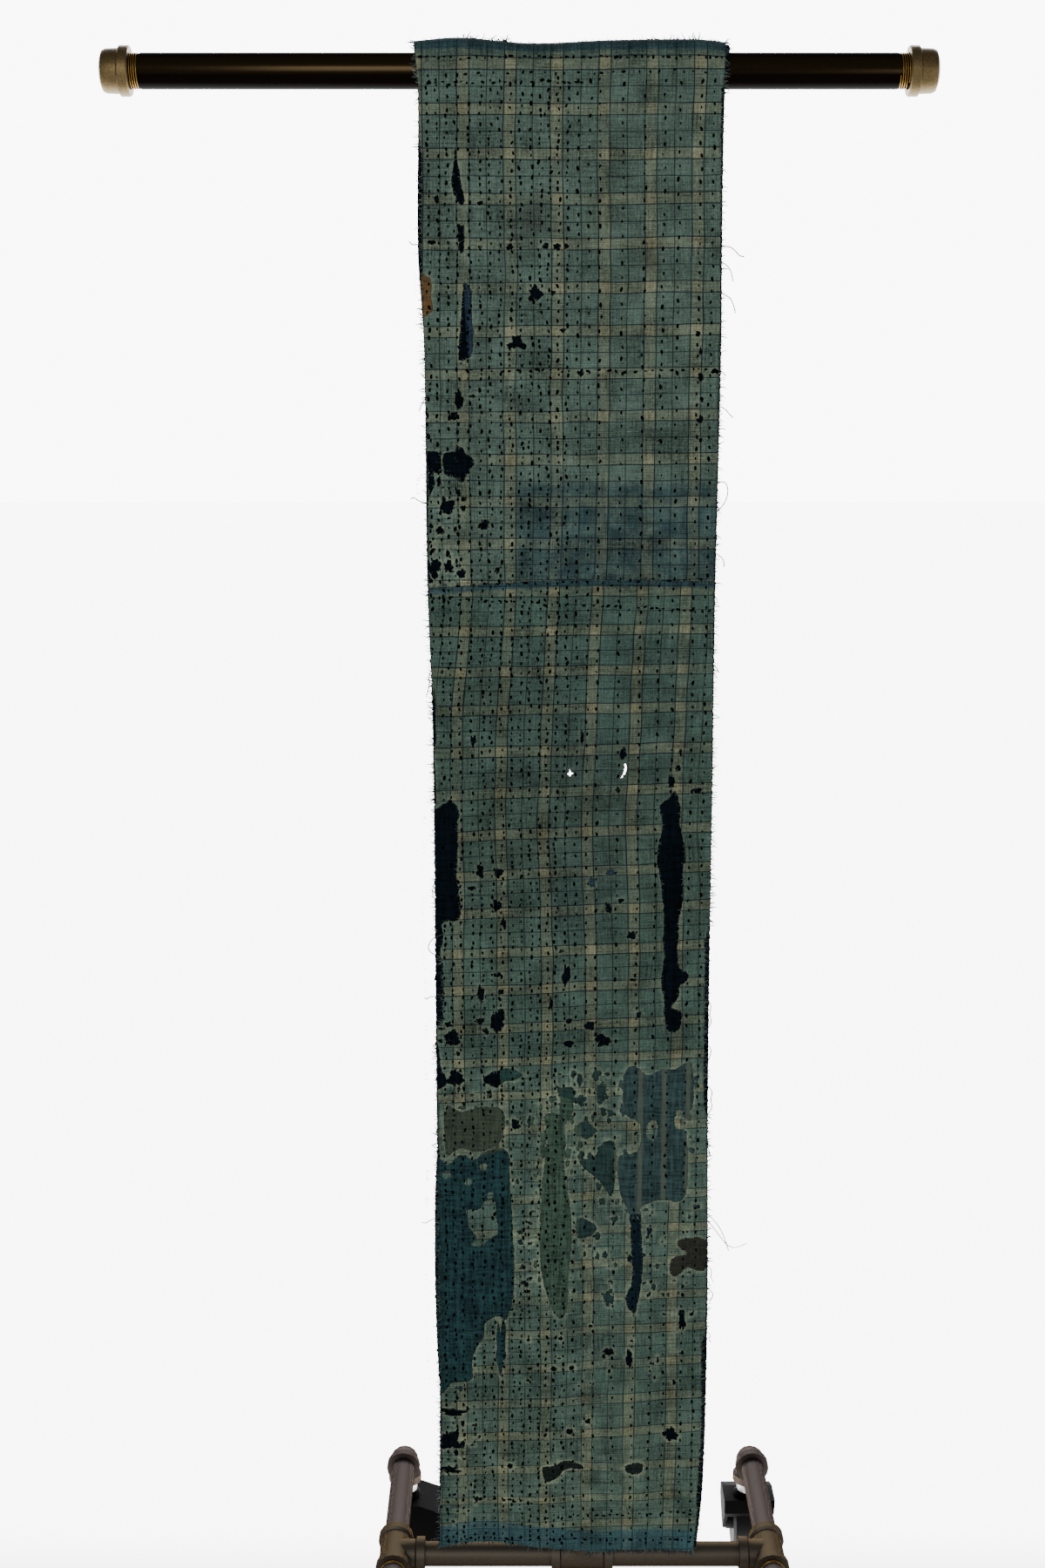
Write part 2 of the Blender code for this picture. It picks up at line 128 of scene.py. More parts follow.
# White painted floor. It glows behind the stand like the wall, a painted pool of light, and is dim in front.
white_floor, floor_tree, floor_shader = new_finish("white_painted_floor", "#d8d8d8", 0.9)
floor_shader.inputs["Emission Color"].default_value = (1.0, 1.0, 1.0, 1.0)
floor_place = add_node(floor_tree, "ShaderNodeTexCoord")
floor_parts = add_node(floor_tree, "ShaderNodeSeparateXYZ", {0: floor_place.outputs["Object"]})
FRONT_FLOOR_LIGHT = 0.15
BACK_FLOOR_LIGHT = 7.5
flood = add_node(
    floor_tree,
    "ShaderNodeMapRange",
    {
        "Value": floor_parts.outputs["Y"],
        "From Min": 0.02,
        "From Max": 0.30,
        "To Min": FRONT_FLOOR_LIGHT,
        "To Max": BACK_FLOOR_LIGHT,
    },
    interpolation_type="SMOOTHSTEP",
)
floor_tree.links.new(flood.outputs[0], floor_shader.inputs["Emission Strength"])
FLOOR_REACH = 14.0
floor_corners = [(FLOOR_REACH * a, FLOOR_REACH * b, 0.0) for a, b in ((-1, -1), (1, -1), (1, 1), (-1, 1))]
floor = mesh_piece("floor", floor_corners, [(0, 1, 2, 3)], white_floor)

for lamp_name, place, aim, size, power in (
    ("key_light", (-1.0, -4.0, 2.3), (0.05, 0.0, 0.85), 1.9, 74),
    ("side_light", (2.6, -2.4, 1.3), (0.05, 0.0, 0.8), 1.2, 18),
):
    lamp_data = bpy.data.lights.new(lamp_name, "AREA")
    lamp_data.size = size
    lamp_data.energy = power
    lamp = bpy.data.objects.new(lamp_name, lamp_data)
    lamp.location = place
    lamp.rotation_euler = (Vector(aim) - Vector(place)).to_track_quat("-Z", "Y").to_euler()
    bpy.context.collection.objects.link(lamp)

# --- The stand: pipes, fittings and casters -------------------------------------------------------
# Black lacquered steel pipe for the bar, oiled pipe for the base and the upright, cast malleable iron
# fittings, and moulded swivel casters on zinc plated stems. The threads are cut on the pipes' ends.

smoothing = bpy.data.node_groups.new("smooth round faces", "GeometryNodeTree")
smoothing.interface.new_socket("Geometry", in_out="INPUT", socket_type="NodeSocketGeometry")
smoothing.interface.new_socket("Geometry", in_out="OUTPUT", socket_type="NodeSocketGeometry")
smoothing_in = add_node(smoothing, "NodeGroupInput")
joined = add_node(
    smoothing, "GeometryNodeMergeByDistance", {"Geometry": smoothing_in.outputs[0], "Distance": 0.00002}
)
rounded = add_node(
    smoothing,
    "GeometryNodeSetShadeSmooth",
    {"Geometry": joined.outputs[0], "Shade Smooth": True},
    domain="FACE",
)
edge_angle = add_node(smoothing, "GeometryNodeInputMeshEdgeAngle")
real_edge = add_node(
    smoothing, "FunctionNodeCompare", {0: edge_angle.outputs[0], 1: 0.6}, operation="GREATER_THAN"
)
sharpened = add_node(
    smoothing,
    "GeometryNodeSetShadeSmooth",
    {"Geometry": rounded.outputs[0], "Selection": real_edge.outputs[0], "Shade Smooth": False},
    domain="EDGE",
)
add_node(smoothing, "NodeGroupOutput", {0: sharpened.outputs[0]})


def smooth_piece(piece):
    """Smooth a piece's round faces, while its real edges stay sharp."""
    piece.modifiers.new("smoothed", "NODES").node_group = smoothing


def grainy(tree, shader, scale, strength, distance):
    """Roughen a finish with a fine bump."""
    place = add_node(tree, "ShaderNodeTexCoord")
    grain = add_node(
        tree, "ShaderNodeTexNoise", {"Vector": place.outputs["Object"], "Scale": scale, "Detail": 4.0}
    )
    bump = add_node(
        tree, "ShaderNodeBump", {"Height": grain.outputs[0], "Strength": strength, "Distance": distance}
    )
    tree.links.new(bump.outputs[0], shader.inputs["Normal"])
    return grain


def paint_sheen_by_facing(tree, shader, below, above, lowest, highest):
    """A finish with one colour on the faces that look down and another on those that look up: painted light
    by facing.
    """
    facing = add_node(tree, "ShaderNodeNewGeometry")
    facing_parts = add_node(tree, "ShaderNodeSeparateXYZ", {0: facing.outputs["Normal"]})
    share = add_node(
        tree,
        "ShaderNodeMapRange",
        {"Value": facing_parts.outputs["Z"], "From Min": lowest, "From Max": highest},
    )
    tone = add_node(
        tree, "ShaderNodeMix", {0: share.outputs[0], 6: linear(below), 7: linear(above)}, data_type="RGBA"
    )
    tree.links.new(tone.outputs[2], shader.inputs["Base Color"])


# Gloss black lacquer on steel. Its upper side is painted brown as a painted highlight, and its underside near
# black as painted shade.
lacquer, lacquer_tree, lacquer_shader = new_finish("black_lacquer_on_steel", "#33291a", 0.24, 0.9)
lacquer_shader.inputs["Specular Tint"].default_value = linear("#3a2f22")
grainy(lacquer_tree, lacquer_shader, 600.0, 0.10, 0.0003)
paint_sheen_by_facing(lacquer_tree, lacquer_shader, "#0c0806", "#2f2618", -0.30, 0.12)

# Oiled malleable iron as cast, with a sandy skin.
cast_iron, cast_tree, cast_shader = new_finish("cast_malleable_iron", "#8c7b58", 0.46, 0.85)
cast_grain = grainy(cast_tree, cast_shader, 700.0, 0.45, 0.0006)
cast_tone = add_node(
    cast_tree,
    "ShaderNodeMix",
    {0: cast_grain.outputs[0], 6: linear("#352b1c"), 7: linear("#806d46")},
    data_type="RGBA",
)
cast_tree.links.new(cast_tone.outputs[2], cast_shader.inputs["Base Color"])

# Oiled black steel, greyer on the uprights, rails and elbows and browner on the cross pipe and its tees.
# Faces that look up are greyer, partly dust and partly a painted sky reflection; faces that look down are
# warmer, a painted reflection.
steel_finishes = []
for steel_name, below, above in (
    ("dusty_sheened_black_steel", "#57493a", "#534f4e"),
    ("oiled_brown_sheened_steel", "#4d4438", "#524c43"),
):
    steel, steel_tree, steel_shader = new_finish(steel_name, above, 0.55, 1.0)
    steel_shader.inputs["Specular Tint"].default_value = linear("#4a423c")
    grainy(steel_tree, steel_shader, 500.0, 0.30, 0.0004)
    # Painted reflection: warmer on the faces that look down, greyer on those that look up, with some dust on
    # top.
    paint_sheen_by_facing(steel_tree, steel_shader, below, above, -0.6, 0.4)
    steel_finishes.append(steel)
dusty_sheened_steel, oiled_sheened_steel = steel_finishes

# Bright zinc plating on the caster stems.
zinc = new_finish("zinc_plating", "#c6c8c2", 0.36, 1.0)[0]
# Black moulded nylon forks, and wheels with a grey-black rubber tread.
nylon, _, nylon_shader = new_finish("black_moulded_nylon", "#050506", 0.75)
nylon_shader.inputs["Specular IOR Level"].default_value = 0.03
tread, _, tread_shader = new_finish("black_rubber_tread", "#0b0b0b", 0.65)
tread_shader.inputs["Specular IOR Level"].default_value = 0.15
# Cut threads, where the steel shows golden through the oil.
cut_thread = new_finish("oiled_cut_threads", "#a07c3c", 0.38, 0.9)[0]

STAND_FINISHES = {
    "bar": lacquer,
    "cap": cast_iron,
    "bar_tee": cast_iron,
    "post": dusty_sheened_steel,
    "base": oiled_sheened_steel,
    "cross": oiled_sheened_steel,
    "side": oiled_sheened_steel,
    "rail": dusty_sheened_steel,
    "elbow": dusty_sheened_steel,
    "stem": zinc,
    "fork": nylon,
    "wheel": tread,
}
for node_name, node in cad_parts.items():
    finish = STAND_FINISHES.get(node_name) or STAND_FINISHES.get(node_name.split("_")[0])
    if finish:
        node.data.materials.clear()
        node.data.materials.append(finish)
        smooth_piece(node)

THREAD_WIRE = 0.00042
THREAD_STEPS = 28


def drawn_piece(name, curve, finish):
    """A piece of the stand's body, from a curve drawn in thread or wire."""
    drawn = bpy.data.objects.new(name, curve)
    bpy.context.collection.objects.link(drawn)
    bpy.context.view_layer.update()
    mesh = bpy.data.meshes.new_from_object(drawn.evaluated_get(bpy.context.evaluated_depsgraph_get()))
    bpy.data.objects.remove(drawn)
    mesh.name = name
    mesh.materials.clear()
    mesh.materials.append(finish)
    mesh.shade_smooth()
    piece = bpy.data.objects.new(name, mesh)
    bpy.context.collection.objects.link(piece)
    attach(piece, "stand")


def cut_threads(name, start, heading, turns, radius, pitch):
    """The crests of a pipe's thread, as one fine coil round the pipe."""
    side = heading.orthogonal().normalized()
    over = heading.cross(side)
    curve = bpy.data.curves.new(name, "CURVE")
    curve.dimensions = "3D"
    curve.bevel_depth = THREAD_WIRE
    curve.bevel_resolution = 1
    curve.use_fill_caps = True
    coil = curve.splines.new("POLY")
    count = int(turns * THREAD_STEPS)
    coil.points.add(count)
    for k, point in enumerate(coil.points):
        turn = 2 * math.pi * k / THREAD_STEPS
        outward = side * math.cos(turn) + over * math.sin(turn)
        place = start + heading * (pitch * k / THREAD_STEPS) + radius * outward
        point.co = (*place, 1.0)
    drawn_piece(name, curve, cut_thread)


BAR_HEIGHT = 1.690
BAR_THREAD_X = 0.3652
BAR_THREAD_TURNS = 4.1
BAR_THREAD_PITCH = 0.0021
BAR_THREAD_R = 0.0163
for end_name, end in (("left", -1), ("right", 1)):
    cut_threads(
        "bar_thread_" + end_name,
        Vector((end * BAR_THREAD_X, 0, BAR_HEIGHT)),
        Vector((-end, 0, 0)),
        BAR_THREAD_TURNS,
        BAR_THREAD_R,
        BAR_THREAD_PITCH,
    )

# The base's pipes show two turns of thread beside each fitting that they are screwed into.
BASE_THREAD_R = 0.01335
BASE_THREAD_TURNS = 2.4
BASE_THREAD_PITCH = 0.0018
BASE_THREAD_GAP = 0.0006
for rail_end in ("back", "front"):
    for rail_side in ("left", "right"):
        corner = rail_end + "_" + rail_side
        way = 1 if rail_end == "back" else -1
        low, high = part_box("rail_" + corner)
        tee_low, tee_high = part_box("side_tee_" + rail_side)
        start = Vector(((low.x + high.x) / 2, tee_high.y if way > 0 else tee_low.y, (low.z + high.z) / 2))
        cut_threads(
            "rail_thread_" + corner,
            start + Vector((0, way * BASE_THREAD_GAP, 0)),
            Vector((0, way, 0)),
            BASE_THREAD_TURNS,
            BASE_THREAD_R,
            BASE_THREAD_PITCH,
        )

# --- How the cloth hangs --------------------------------------------------------------------------
# The cloth is about 285 mm wide. It goes over the bar with a short tail behind, and hangs straight
# down in front with soft upright folds, a little slack and shallow creases.

FRONT_R = 0.0225
OVER_BAR = 0.075
TAIL_LENGTH = 0.080
FOLD_START = 0.45
SWAY = 0.0012
SWAY_LENGTH = 0.80

# Side edges: drop below the bar's axis, left edge, right edge, in metres.
EDGES = (
    (-0.16, -0.0915, 0.1885), (-0.075, -0.0925, 0.1895), (-0.045, -0.0975, 0.1955),
    (-0.03, -0.0985, 0.1965), (0.0, -0.0965, 0.1945), (0.022, -0.0945, 0.1916), (0.165, -0.096, 0.1918),
    (0.25, -0.0912, 0.1928), (0.48, -0.09, 0.1914), (0.59, -0.0867, 0.1918), (0.68, -0.0857, 0.1925),
    (0.86, -0.0856, 0.193), (1.05, -0.0855, 0.1945), (1.25, -0.0843, 0.1978), (1.45, -0.086, 0.1965),
    (1.535, -0.0876, 0.19),
)
# Crest over the bar: share of the width from the left, height of the inner side.
CREST = ((0.00, 0.0246), (0.14, 0.0277), (0.37, 0.0226), (0.62, 0.0253), (0.90, 0.0261), (1.00, 0.0230))
# Cross seam and lower end: share of the width from the left, drop.
SEAM = (
    (0.0, 0.4847), (0.5, 0.4762), (1.0, 0.4779),
)
HEM = (
    (0.0, 1.5254), (0.1, 1.5192), (0.23, 1.5192), (0.4, 1.5243), (0.61, 1.5306), (0.74, 1.5275),
    (1.0, 1.5296),
)
# Upright folds: share of the width, half width as a share, how far forward.
FOLDS = ((0.10, 0.09, 0.0016), (0.40, 0.15, 0.0034), (0.72, 0.13, 0.0028), (0.96, 0.07, 0.0018))
# Creases, in mm: upper end, lower end, half width, height out of the cloth.
CREASES = (
    ((20, 60), (60, 300), 20, 0.8),
    ((120, 90), (150, 330), 24, -0.8),
    ((-60, 300), (-20, 440), 16, 0.7),
    ((60, 520), (95, 820), 26, -0.9),
    ((150, 560), (165, 700), 13, 0.8),
    ((-50, 700), (-20, 950), 18, 0.8),
    ((110, 960), (140, 1120), 15, -0.8),
    ((-30, 1080), (-10, 1280), 13, 0.7),
    ((70, 1250), (90, 1480), 20, -0.8),
    ((165, 1180), (175, 1440), 11, 0.8),
    ((-80, 1340), (-20, 1400), 12, 0.6),
    ((30, 1500), (170, 1480), 10, -0.6),
)


def read_at(table, at, column=1):
    """A table's value at a place, read off a smooth curve through its rows."""
    if at <= table[0][0]:
        return table[0][column]
    if at >= table[-1][0]:
        return table[-1][column]
    k = max(i for i, row in enumerate(table) if row[0] <= at)
    before, low, high = table[max(k - 1, 0)], table[k], table[k + 1]
    after = table[min(k + 2, len(table) - 1)]
    span = high[0] - low[0]
    t = (at - low[0]) / span
    slope_low = (high[column] - before[column]) / (high[0] - before[0]) * span
    slope_high = (after[column] - low[column]) / (after[0] - low[0]) * span
    rise = high[column] - low[column]
    turn = slope_low + slope_high - 2 * rise
    return low[column] + t * (slope_low + t * (3 * rise - 2 * slope_low - slope_high + t * turn))


def width_share(x, along):
    """How far across the cloth a place lies, from 0 at the left edge to 1 at the right edge."""
    left = read_at(EDGES, along, 1)
    return (x - left) / (read_at(EDGES, along, 2) - left)


def relief(x, along):
    """How far the creases and the slack push the cloth forward."""
    spot = Vector((x, along, 0.0))
    out = 0.0009 * noise.noise(spot * 14) + 0.0004 * noise.noise(spot * 45)
    for (x1, drop1), (x2, drop2), half, height in CREASES:
        first = Vector((x1, drop1)) / 1000
        run = Vector((x2, drop2)) / 1000 - first
        share = max(0.0, min(1.0, (Vector((x, along)) - first).dot(run) / run.dot(run)))
        away = (Vector((x, along)) - first - share * run).length / (half / 1000)
        if away < 2.5:
            out += height / 1000 * math.exp(-away * away)
    seam_gap = (along - read_at(SEAM, width_share(x, along))) / 0.004
    out -= 0.0006 * math.exp(-seam_gap * seam_gap)
    return out * min(1.0, along / 0.05)


def hang(x, along, depth):
    """Where a point of the cloth hangs.

    x is its place along the bar. along is the length of cloth from the bar's axis down the front, less
    than zero over the bar and down the back. depth is its distance out from the backing's inner side.
    """
    across = width_share(x, along)
    if along >= 0:
        forward = sum(rise * math.exp(-(((across - mid) / half) ** 2)) for mid, half, rise in FOLDS)
        forward *= min(1.0, along / FOLD_START)
        forward += SWAY * (1 - math.cos(2 * math.pi * along / SWAY_LENGTH)) + relief(x, along)
        return Vector((x, -FRONT_R - depth - forward, BAR_HEIGHT - along))
    if along >= -OVER_BAR:
        angle = -along / OVER_BAR * math.pi
        rise = (read_at(CREST, across) + depth) * math.sin(angle)
        return Vector((x, -(FRONT_R + depth) * math.cos(angle), BAR_HEIGHT + rise))
    return Vector((x, FRONT_R + depth, BAR_HEIGHT + along + OVER_BAR))


# --- The backing ----------------------------------------------------------------------------------
# Dark indigo cotton in two lengths, sewn together behind the face's cross seam. It shows in the tears
# and along both sides, and two small holes go right through it.

EDGE_STEP = 0.0013


def ragged(x, along, amount):
    """A frayed edge's offset at a place."""
    spot = Vector((x, along, 0.0))
    return amount * (0.7 * noise.noise(spot * 240 + Vector((3, 1, 4))) + 0.5 * noise.noise(spot * 800))


def panel_outline(top, end, sides, fray, end_fray):
    """The outline of a panel, cut flat: top and end read across the width, sides read down its length."""
    outline = []

    def cross_edge(edge, seed, amount, leftward):
        left, right = (sides(edge(s))[s] for s in (0, 1))
        count = int((right - left) / EDGE_STEP)
        for k in range(count):
            share = 1 - k / count if leftward else k / count
            along = edge(share) + ragged(share * 0.3, seed, amount)
            outline.append((left + share * (right - left), along))

    cross_edge(top, 9.0, end_fray[0], False)
    count = int((end(1) - top(1)) / EDGE_STEP)
    for k in range(count):
        along = top(1) + (end(1) - top(1)) * k / count
        outline.append((sides(along)[1] + ragged(7.0, along, fray), along))
    cross_edge(end, 5.0, end_fray[1], True)
    count = int((end(0) - top(0)) / EDGE_STEP)
    for k in range(count):
        along = end(0) - (end(0) - top(0)) * k / count
        outline.append((sides(along)[0] - ragged(2.0, along, fray), along))
    return outline


def worn_hole(x, drop, width, height):
    """The ragged rim of a small worn hole, from its middle and its size in mm."""
    count = max(9, int((width + height) * 1.1))
    rim = []
    for k in range(count):
        turn = 2 * math.pi * k / count
        spot = Vector((math.cos(turn) + x * 0.37, math.sin(turn) + drop * 0.23, 5.1))
        swell = 1.04 + 0.7 * noise.noise(spot * 1.3) + 0.45 * noise.noise(spot * 3.7)
        across = x + swell * width / 2 * math.cos(turn)
        down = drop + swell * height / 2 * math.sin(turn)
        rim.append((across / 1000, down / 1000))
    return rim


def torn_loop(corners, fray=0.0016):
    """The ragged rim of a tear or a patch through its corners, in mm."""
    rim = []
    total = len(corners)
    for k in range(total):
        a, b, c, d = (Vector(corners[(k + j) % total]) / 1000 for j in (-1, 0, 1, 2))
        steps = max(1, int((c - b).length / EDGE_STEP))
        for j in range(steps):
            t = j / steps
            bend = b * 2 + (c - a) * t + (2 * a - 5 * b + 4 * c - d) * t * t + (3 * b - a - 3 * c + d) * t**3
            spot = bend / 2
            rim.append((spot.x + ragged(spot.x, spot.y, fray), spot.y + ragged(spot.y, spot.x, fray)))
    turned = sum(p[0] * q[1] - q[0] * p[1] for p, q in zip(rim, rim[1:] + rim[:1]))
    return rim if turned > 0 else rim[::-1]


CURLING_RIM = 0.0015
RIM_CURL = 0.0004
sewn_layers = []


def cut_sheet(name, outline, holes, islands, step, depth, thickness, finish, facts=None):
    """A sheet of cloth: cut flat with its holes, hung, and given its thickness behind its face.

    Islands are scraps of the sheet that are left inside its holes. facts gives each point its named
    values, such as its place in the weave, from its place in the flat cut.
    """
    rng = random.Random(name)
    points = []
    loops = []
    for loop in [outline, *holes, *islands]:
        loops.append(list(range(len(points), len(points) + len(loop))))
        points += [Vector(p) for p in loop]
    edge_tree = KDTree(len(points))
    for k, point in enumerate(points):
        edge_tree.insert((point.x, point.y, 0.0), k)
    edge_tree.balance()
    low_x = min(p[0] for p in outline)
    high_x = max(p[0] for p in outline)
    low_along = min(p[1] for p in outline)
    high_along = max(p[1] for p in outline)
    inside = []
    row = 0
    along = low_along + step / 2
    while along < high_along:
        x = low_x + (step / 2 if row % 2 else step)
        while x < high_x:
            spot = Vector((x + rng.uniform(-0.2, 0.2) * step, along + rng.uniform(-0.2, 0.2) * step))
            if edge_tree.find((spot.x, spot.y, 0.0))[2] > 0.55 * step:
                inside.append(spot)
            x += step
        along += step * 0.866
        row += 1
    flat, _, triangles, _, _, sources = delaunay_2d_cdt(points + inside, [], loops, 0, 1e-7, True)
    first_island = 1 + len(holes)
    kept = []
    for triangle, source in zip(triangles, sources):
        if 0 in source and (any(s >= first_island for s in source) or all(s == 0 for s in source)):
            kept.append(triangle)
    used = sorted({v for triangle in kept for v in triangle})
    place = {v: k for k, v in enumerate(used)}
    rim_tree = KDTree(sum(len(loop) for loop in holes) + 1)
    rim_tree.insert((9.0, 9.0, 0.0), 0)
    for loop in holes:
        for x, along in loop:
            rim_tree.insert((x, along, 0.0), 0)
    rim_tree.balance()
    rims = [max(0.0, 1 - rim_tree.find((flat[v].x, flat[v].y, 0.0))[2] / CURLING_RIM) for v in used]
    hung = []
    for v, rim in zip(used, rims):
        curl = RIM_CURL * rim * (0.6 + noise.noise(Vector((flat[v].x, flat[v].y, 0.0)) * 300))
        hung.append(hang(flat[v].x, flat[v].y, depth + curl))
    faces = [tuple(place[v] for v in reversed(triangle)) for triangle in kept]
    piece = mesh_piece(name, hung, faces, finish)
    mesh = piece.data
    worn = mesh.attributes.new("worn_rim", "FLOAT", "POINT")
    worn.data.foreach_set("value", rims)
    if facts:
        rows = [facts(flat[v].x, flat[v].y) for v in used]
        weave = mesh.uv_layers.new(name="weave")
        corner_points = [loop.vertex_index for loop in mesh.loops]
        weave.data.foreach_set("uv", [value for v in corner_points for value in rows[v]["weave"]])
        for fact in rows[0]:
            if fact != "weave":
                layer = mesh.attributes.new(fact, "FLOAT", "POINT")
                layer.data.foreach_set("value", [r[fact] for r in rows])
    sewn_layers.append((name, BVHTree.FromPolygons(hung, faces)))
    thicken = piece.modifiers.new("thickness", "SOLIDIFY")
    thicken.thickness = thickness
    thicken.offset = -1
    smooth_piece(piece)
    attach(piece, "stand")
    return piece


# Indigo cotton, worn paler along its threads.
indigo, indigo_tree, indigo_shader = new_finish("worn_indigo_cotton", "#0d1a24", 0.95)
indigo_shader.inputs["Specular IOR Level"].default_value = 0.05


def cotton_grain(tree, shader, dark, light, scale=60.0):
    """A plain cotton colour, streaked along its threads. The streaks are coarser than the real threads."""
    place = add_node(tree, "ShaderNodeTexCoord")
    streaks = []
    for stretch in ((6.0, 1.0, 0.5), (0.6, 1.0, 7.0)):
        stretched = add_node(tree, "ShaderNodeMapping", {"Vector": place.outputs["Object"], "Scale": stretch})
        streaks.append(
            add_node(
                tree,
                "ShaderNodeTexNoise",
                {"Vector": stretched.outputs[0], "Scale": scale, "Detail": 3.0, "Roughness": 0.7},
            )
        )
    mixed = add_node(
        tree, "ShaderNodeMath", {0: streaks[0].outputs[0], 1: streaks[1].outputs[0]}, operation="ADD"
    )
    spread = add_node(
        tree, "ShaderNodeMapRange", {"Value": mixed.outputs[0], "From Min": 0.83, "From Max": 1.17}
    )
    tone = add_node(
        tree, "ShaderNodeMix", {0: spread.outputs[0], 6: linear(dark), 7: linear(light)}, data_type="RGBA"
    )
    tree.links.new(tone.outputs[2], shader.inputs["Base Color"])
    bump = add_node(
        tree, "ShaderNodeBump", {"Height": mixed.outputs[0], "Strength": 0.5, "Distance": 0.0004}
    )
    tree.links.new(bump.outputs[0], shader.inputs["Normal"])
    return tone


cotton_grain(indigo_tree, indigo_shader, "#02060a", "#071118")

BACKING_STEP = 0.0062
BACKING_OUT = 0.0008
BACKING_THICK = 0.0005
BACKING_SEAM_OVER = 0.012
# The upper length lies behind the lower one by this much at their seam.
SEAM_TURNING = 0.007
UPPER_BACKING_OUT = 0.0002

# The two holes that go right through, in mm: a jagged star and a crescent.
THROUGH = (
    ((47, 670), (49.5, 668.5), (50, 665), (51, 668), (54, 669.5), (51.5, 671), (50.5, 673), (49, 671.5)),
    ((105, 659), (106.5, 663), (106, 668), (103.5, 673), (100.5, 674.5),
     (102.5, 671), (104, 667), (104, 662)),
)


def cloth_sides(along):
    return read_at(EDGES, along, 1), read_at(EDGES, along, 2)


backing_upper = cut_sheet(
    "backing_upper_cotton",
    panel_outline(
        lambda s: -OVER_BAR - TAIL_LENGTH,
        lambda s: read_at(SEAM, s) - BACKING_SEAM_OVER + SEAM_TURNING,
        cloth_sides,
        0.0008,
        (0.0008, 0.0),
    ),
    [],
    [],
    BACKING_STEP,
    UPPER_BACKING_OUT,
    BACKING_THICK,
    indigo,
)
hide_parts("backing_upper")

backing_lower = cut_sheet(
    "backing_lower_cotton",
    panel_outline(
        lambda s: read_at(SEAM, s) - BACKING_SEAM_OVER + 0.0003,
        lambda s: read_at(HEM, s) - 0.002,
        cloth_sides,
        0.0012,
        (0.0, 0.001),
    ),
    [torn_loop(corners, 0.0003) for corners in THROUGH],
    [],
    BACKING_STEP,
    BACKING_OUT,
    BACKING_THICK,
    indigo,
)
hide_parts("backing_lower")

# --- The patches between the layers ---------------------------------------------------------------
# Scraps of other cotton, laid between the face and the backing and held by the running stitches. They
# show where the face has worn away.

PATCH_THICK = 0.00035
LOWER_PATCH_OUT = 0.00125
UPPER_PATCH_OUT = 0.00170

# Each patch: name, finish's name, dark and light thread colours, how far out it lies, corners in mm.
PATCHES = (
    (
        "deep_blue_patch", "deep_blue_cotton", "#0d1c20", "#264344", LOWER_PATCH_OUT,
        (
            (-84, 1060), (-40, 1056), (2, 1060), (4, 1180), (0, 1262), (-6, 1334), (-50, 1340),
            (-84, 1342),
        ),
    ),
    (
        "olive_patch", "olive_cotton", "#28312a", "#3f483b", UPPER_PATCH_OUT,
        (
            (-82, 1012), (-50, 1008), (-12, 1012), (-12, 1060), (-30, 1072), (-60, 1074), (-82, 1068),
        ),
    ),
    (
        "spindle_patch", "teal_cotton", "#233229", "#43594b", UPPER_PATCH_OUT,
        (
            (15, 1022), (60, 1022), (61, 1140), (60, 1262), (30, 1264), (14, 1200), (14, 1100),
        ),
    ),
    (
        "striped_patch", "faded_indigo_cotton", "#192729", "#374c4c", UPPER_PATCH_OUT,
        (
            (104, 970), (140, 968), (184, 970), (185, 1060), (182, 1136), (140, 1142), (106, 1140),
            (98, 1090), (100, 1020),
        ),
    ),
    (
        "teal_patch", "faded_teal_cotton", "#162625", "#2b423d", LOWER_PATCH_OUT,
        (
            (12, 978), (100, 976), (183, 1000), (184, 1150), (150, 1256), (60, 1262), (12, 1240),
            (12, 1100),
        ),
    ),
    (
        "navy_patch", "navy_cotton", "#060f15", "#0e2029", UPPER_PATCH_OUT,
        (
            (108, 1144), (136, 1144), (136, 1190), (132, 1256), (106, 1256), (106, 1190),
        ),
    ),
    (
        "brown_patch", "olive_brown_cotton", "#1d201b", "#2f3029", UPPER_PATCH_OUT,
        (
            (148, 1156), (191, 1158), (191, 1212), (168, 1218), (150, 1214),
        ),
    ),
    (
        "slate_patch", "slate_blue_cotton", "#141d27", "#283846", LOWER_PATCH_OUT,
        (
            (-51.5, 192), (-42, 186), (-41, 262), (-49.5, 258),
        ),
    ),
    (
        "rust_patch", "rust_brown_cotton", "#453624", "#6a5233", LOWER_PATCH_OUT,
        (
            (-92, 184), (-76, 184), (-76, 228), (-91, 228),
        ),
    ),
    (
        "eye_patch", "faded_teal_scrap", "#192d2b", "#2d4a43", LOWER_PATCH_OUT,
        (
            (-17, 972), (8, 974), (8, 992), (-17, 1004),
        ),
    ),
    (
        "boot_patch", "green_black_cotton", "#0d1412", "#1c2521", LOWER_PATCH_OUT,
        (
            (16, 1414), (72, 1414), (72, 1450), (16, 1452),
        ),
    ),
    (
        "quad_patch", "green_black_scrap", "#0f1614", "#1f2824", LOWER_PATCH_OUT,
        (
            (106, 1418), (138, 1418), (138, 1444), (106, 1444),
        ),
    ),
    (
        "blue_scrap", "blue_scrap_cotton", "#1a2b32", "#2c424a", LOWER_PATCH_OUT,
        (
            (64, 770), (100, 766), (100, 796), (64, 798),
        ),
    ),
)
PATCH_STEP = 0.005
STRIPE_PITCH = 0.0245
STRIPE_START = -0.08
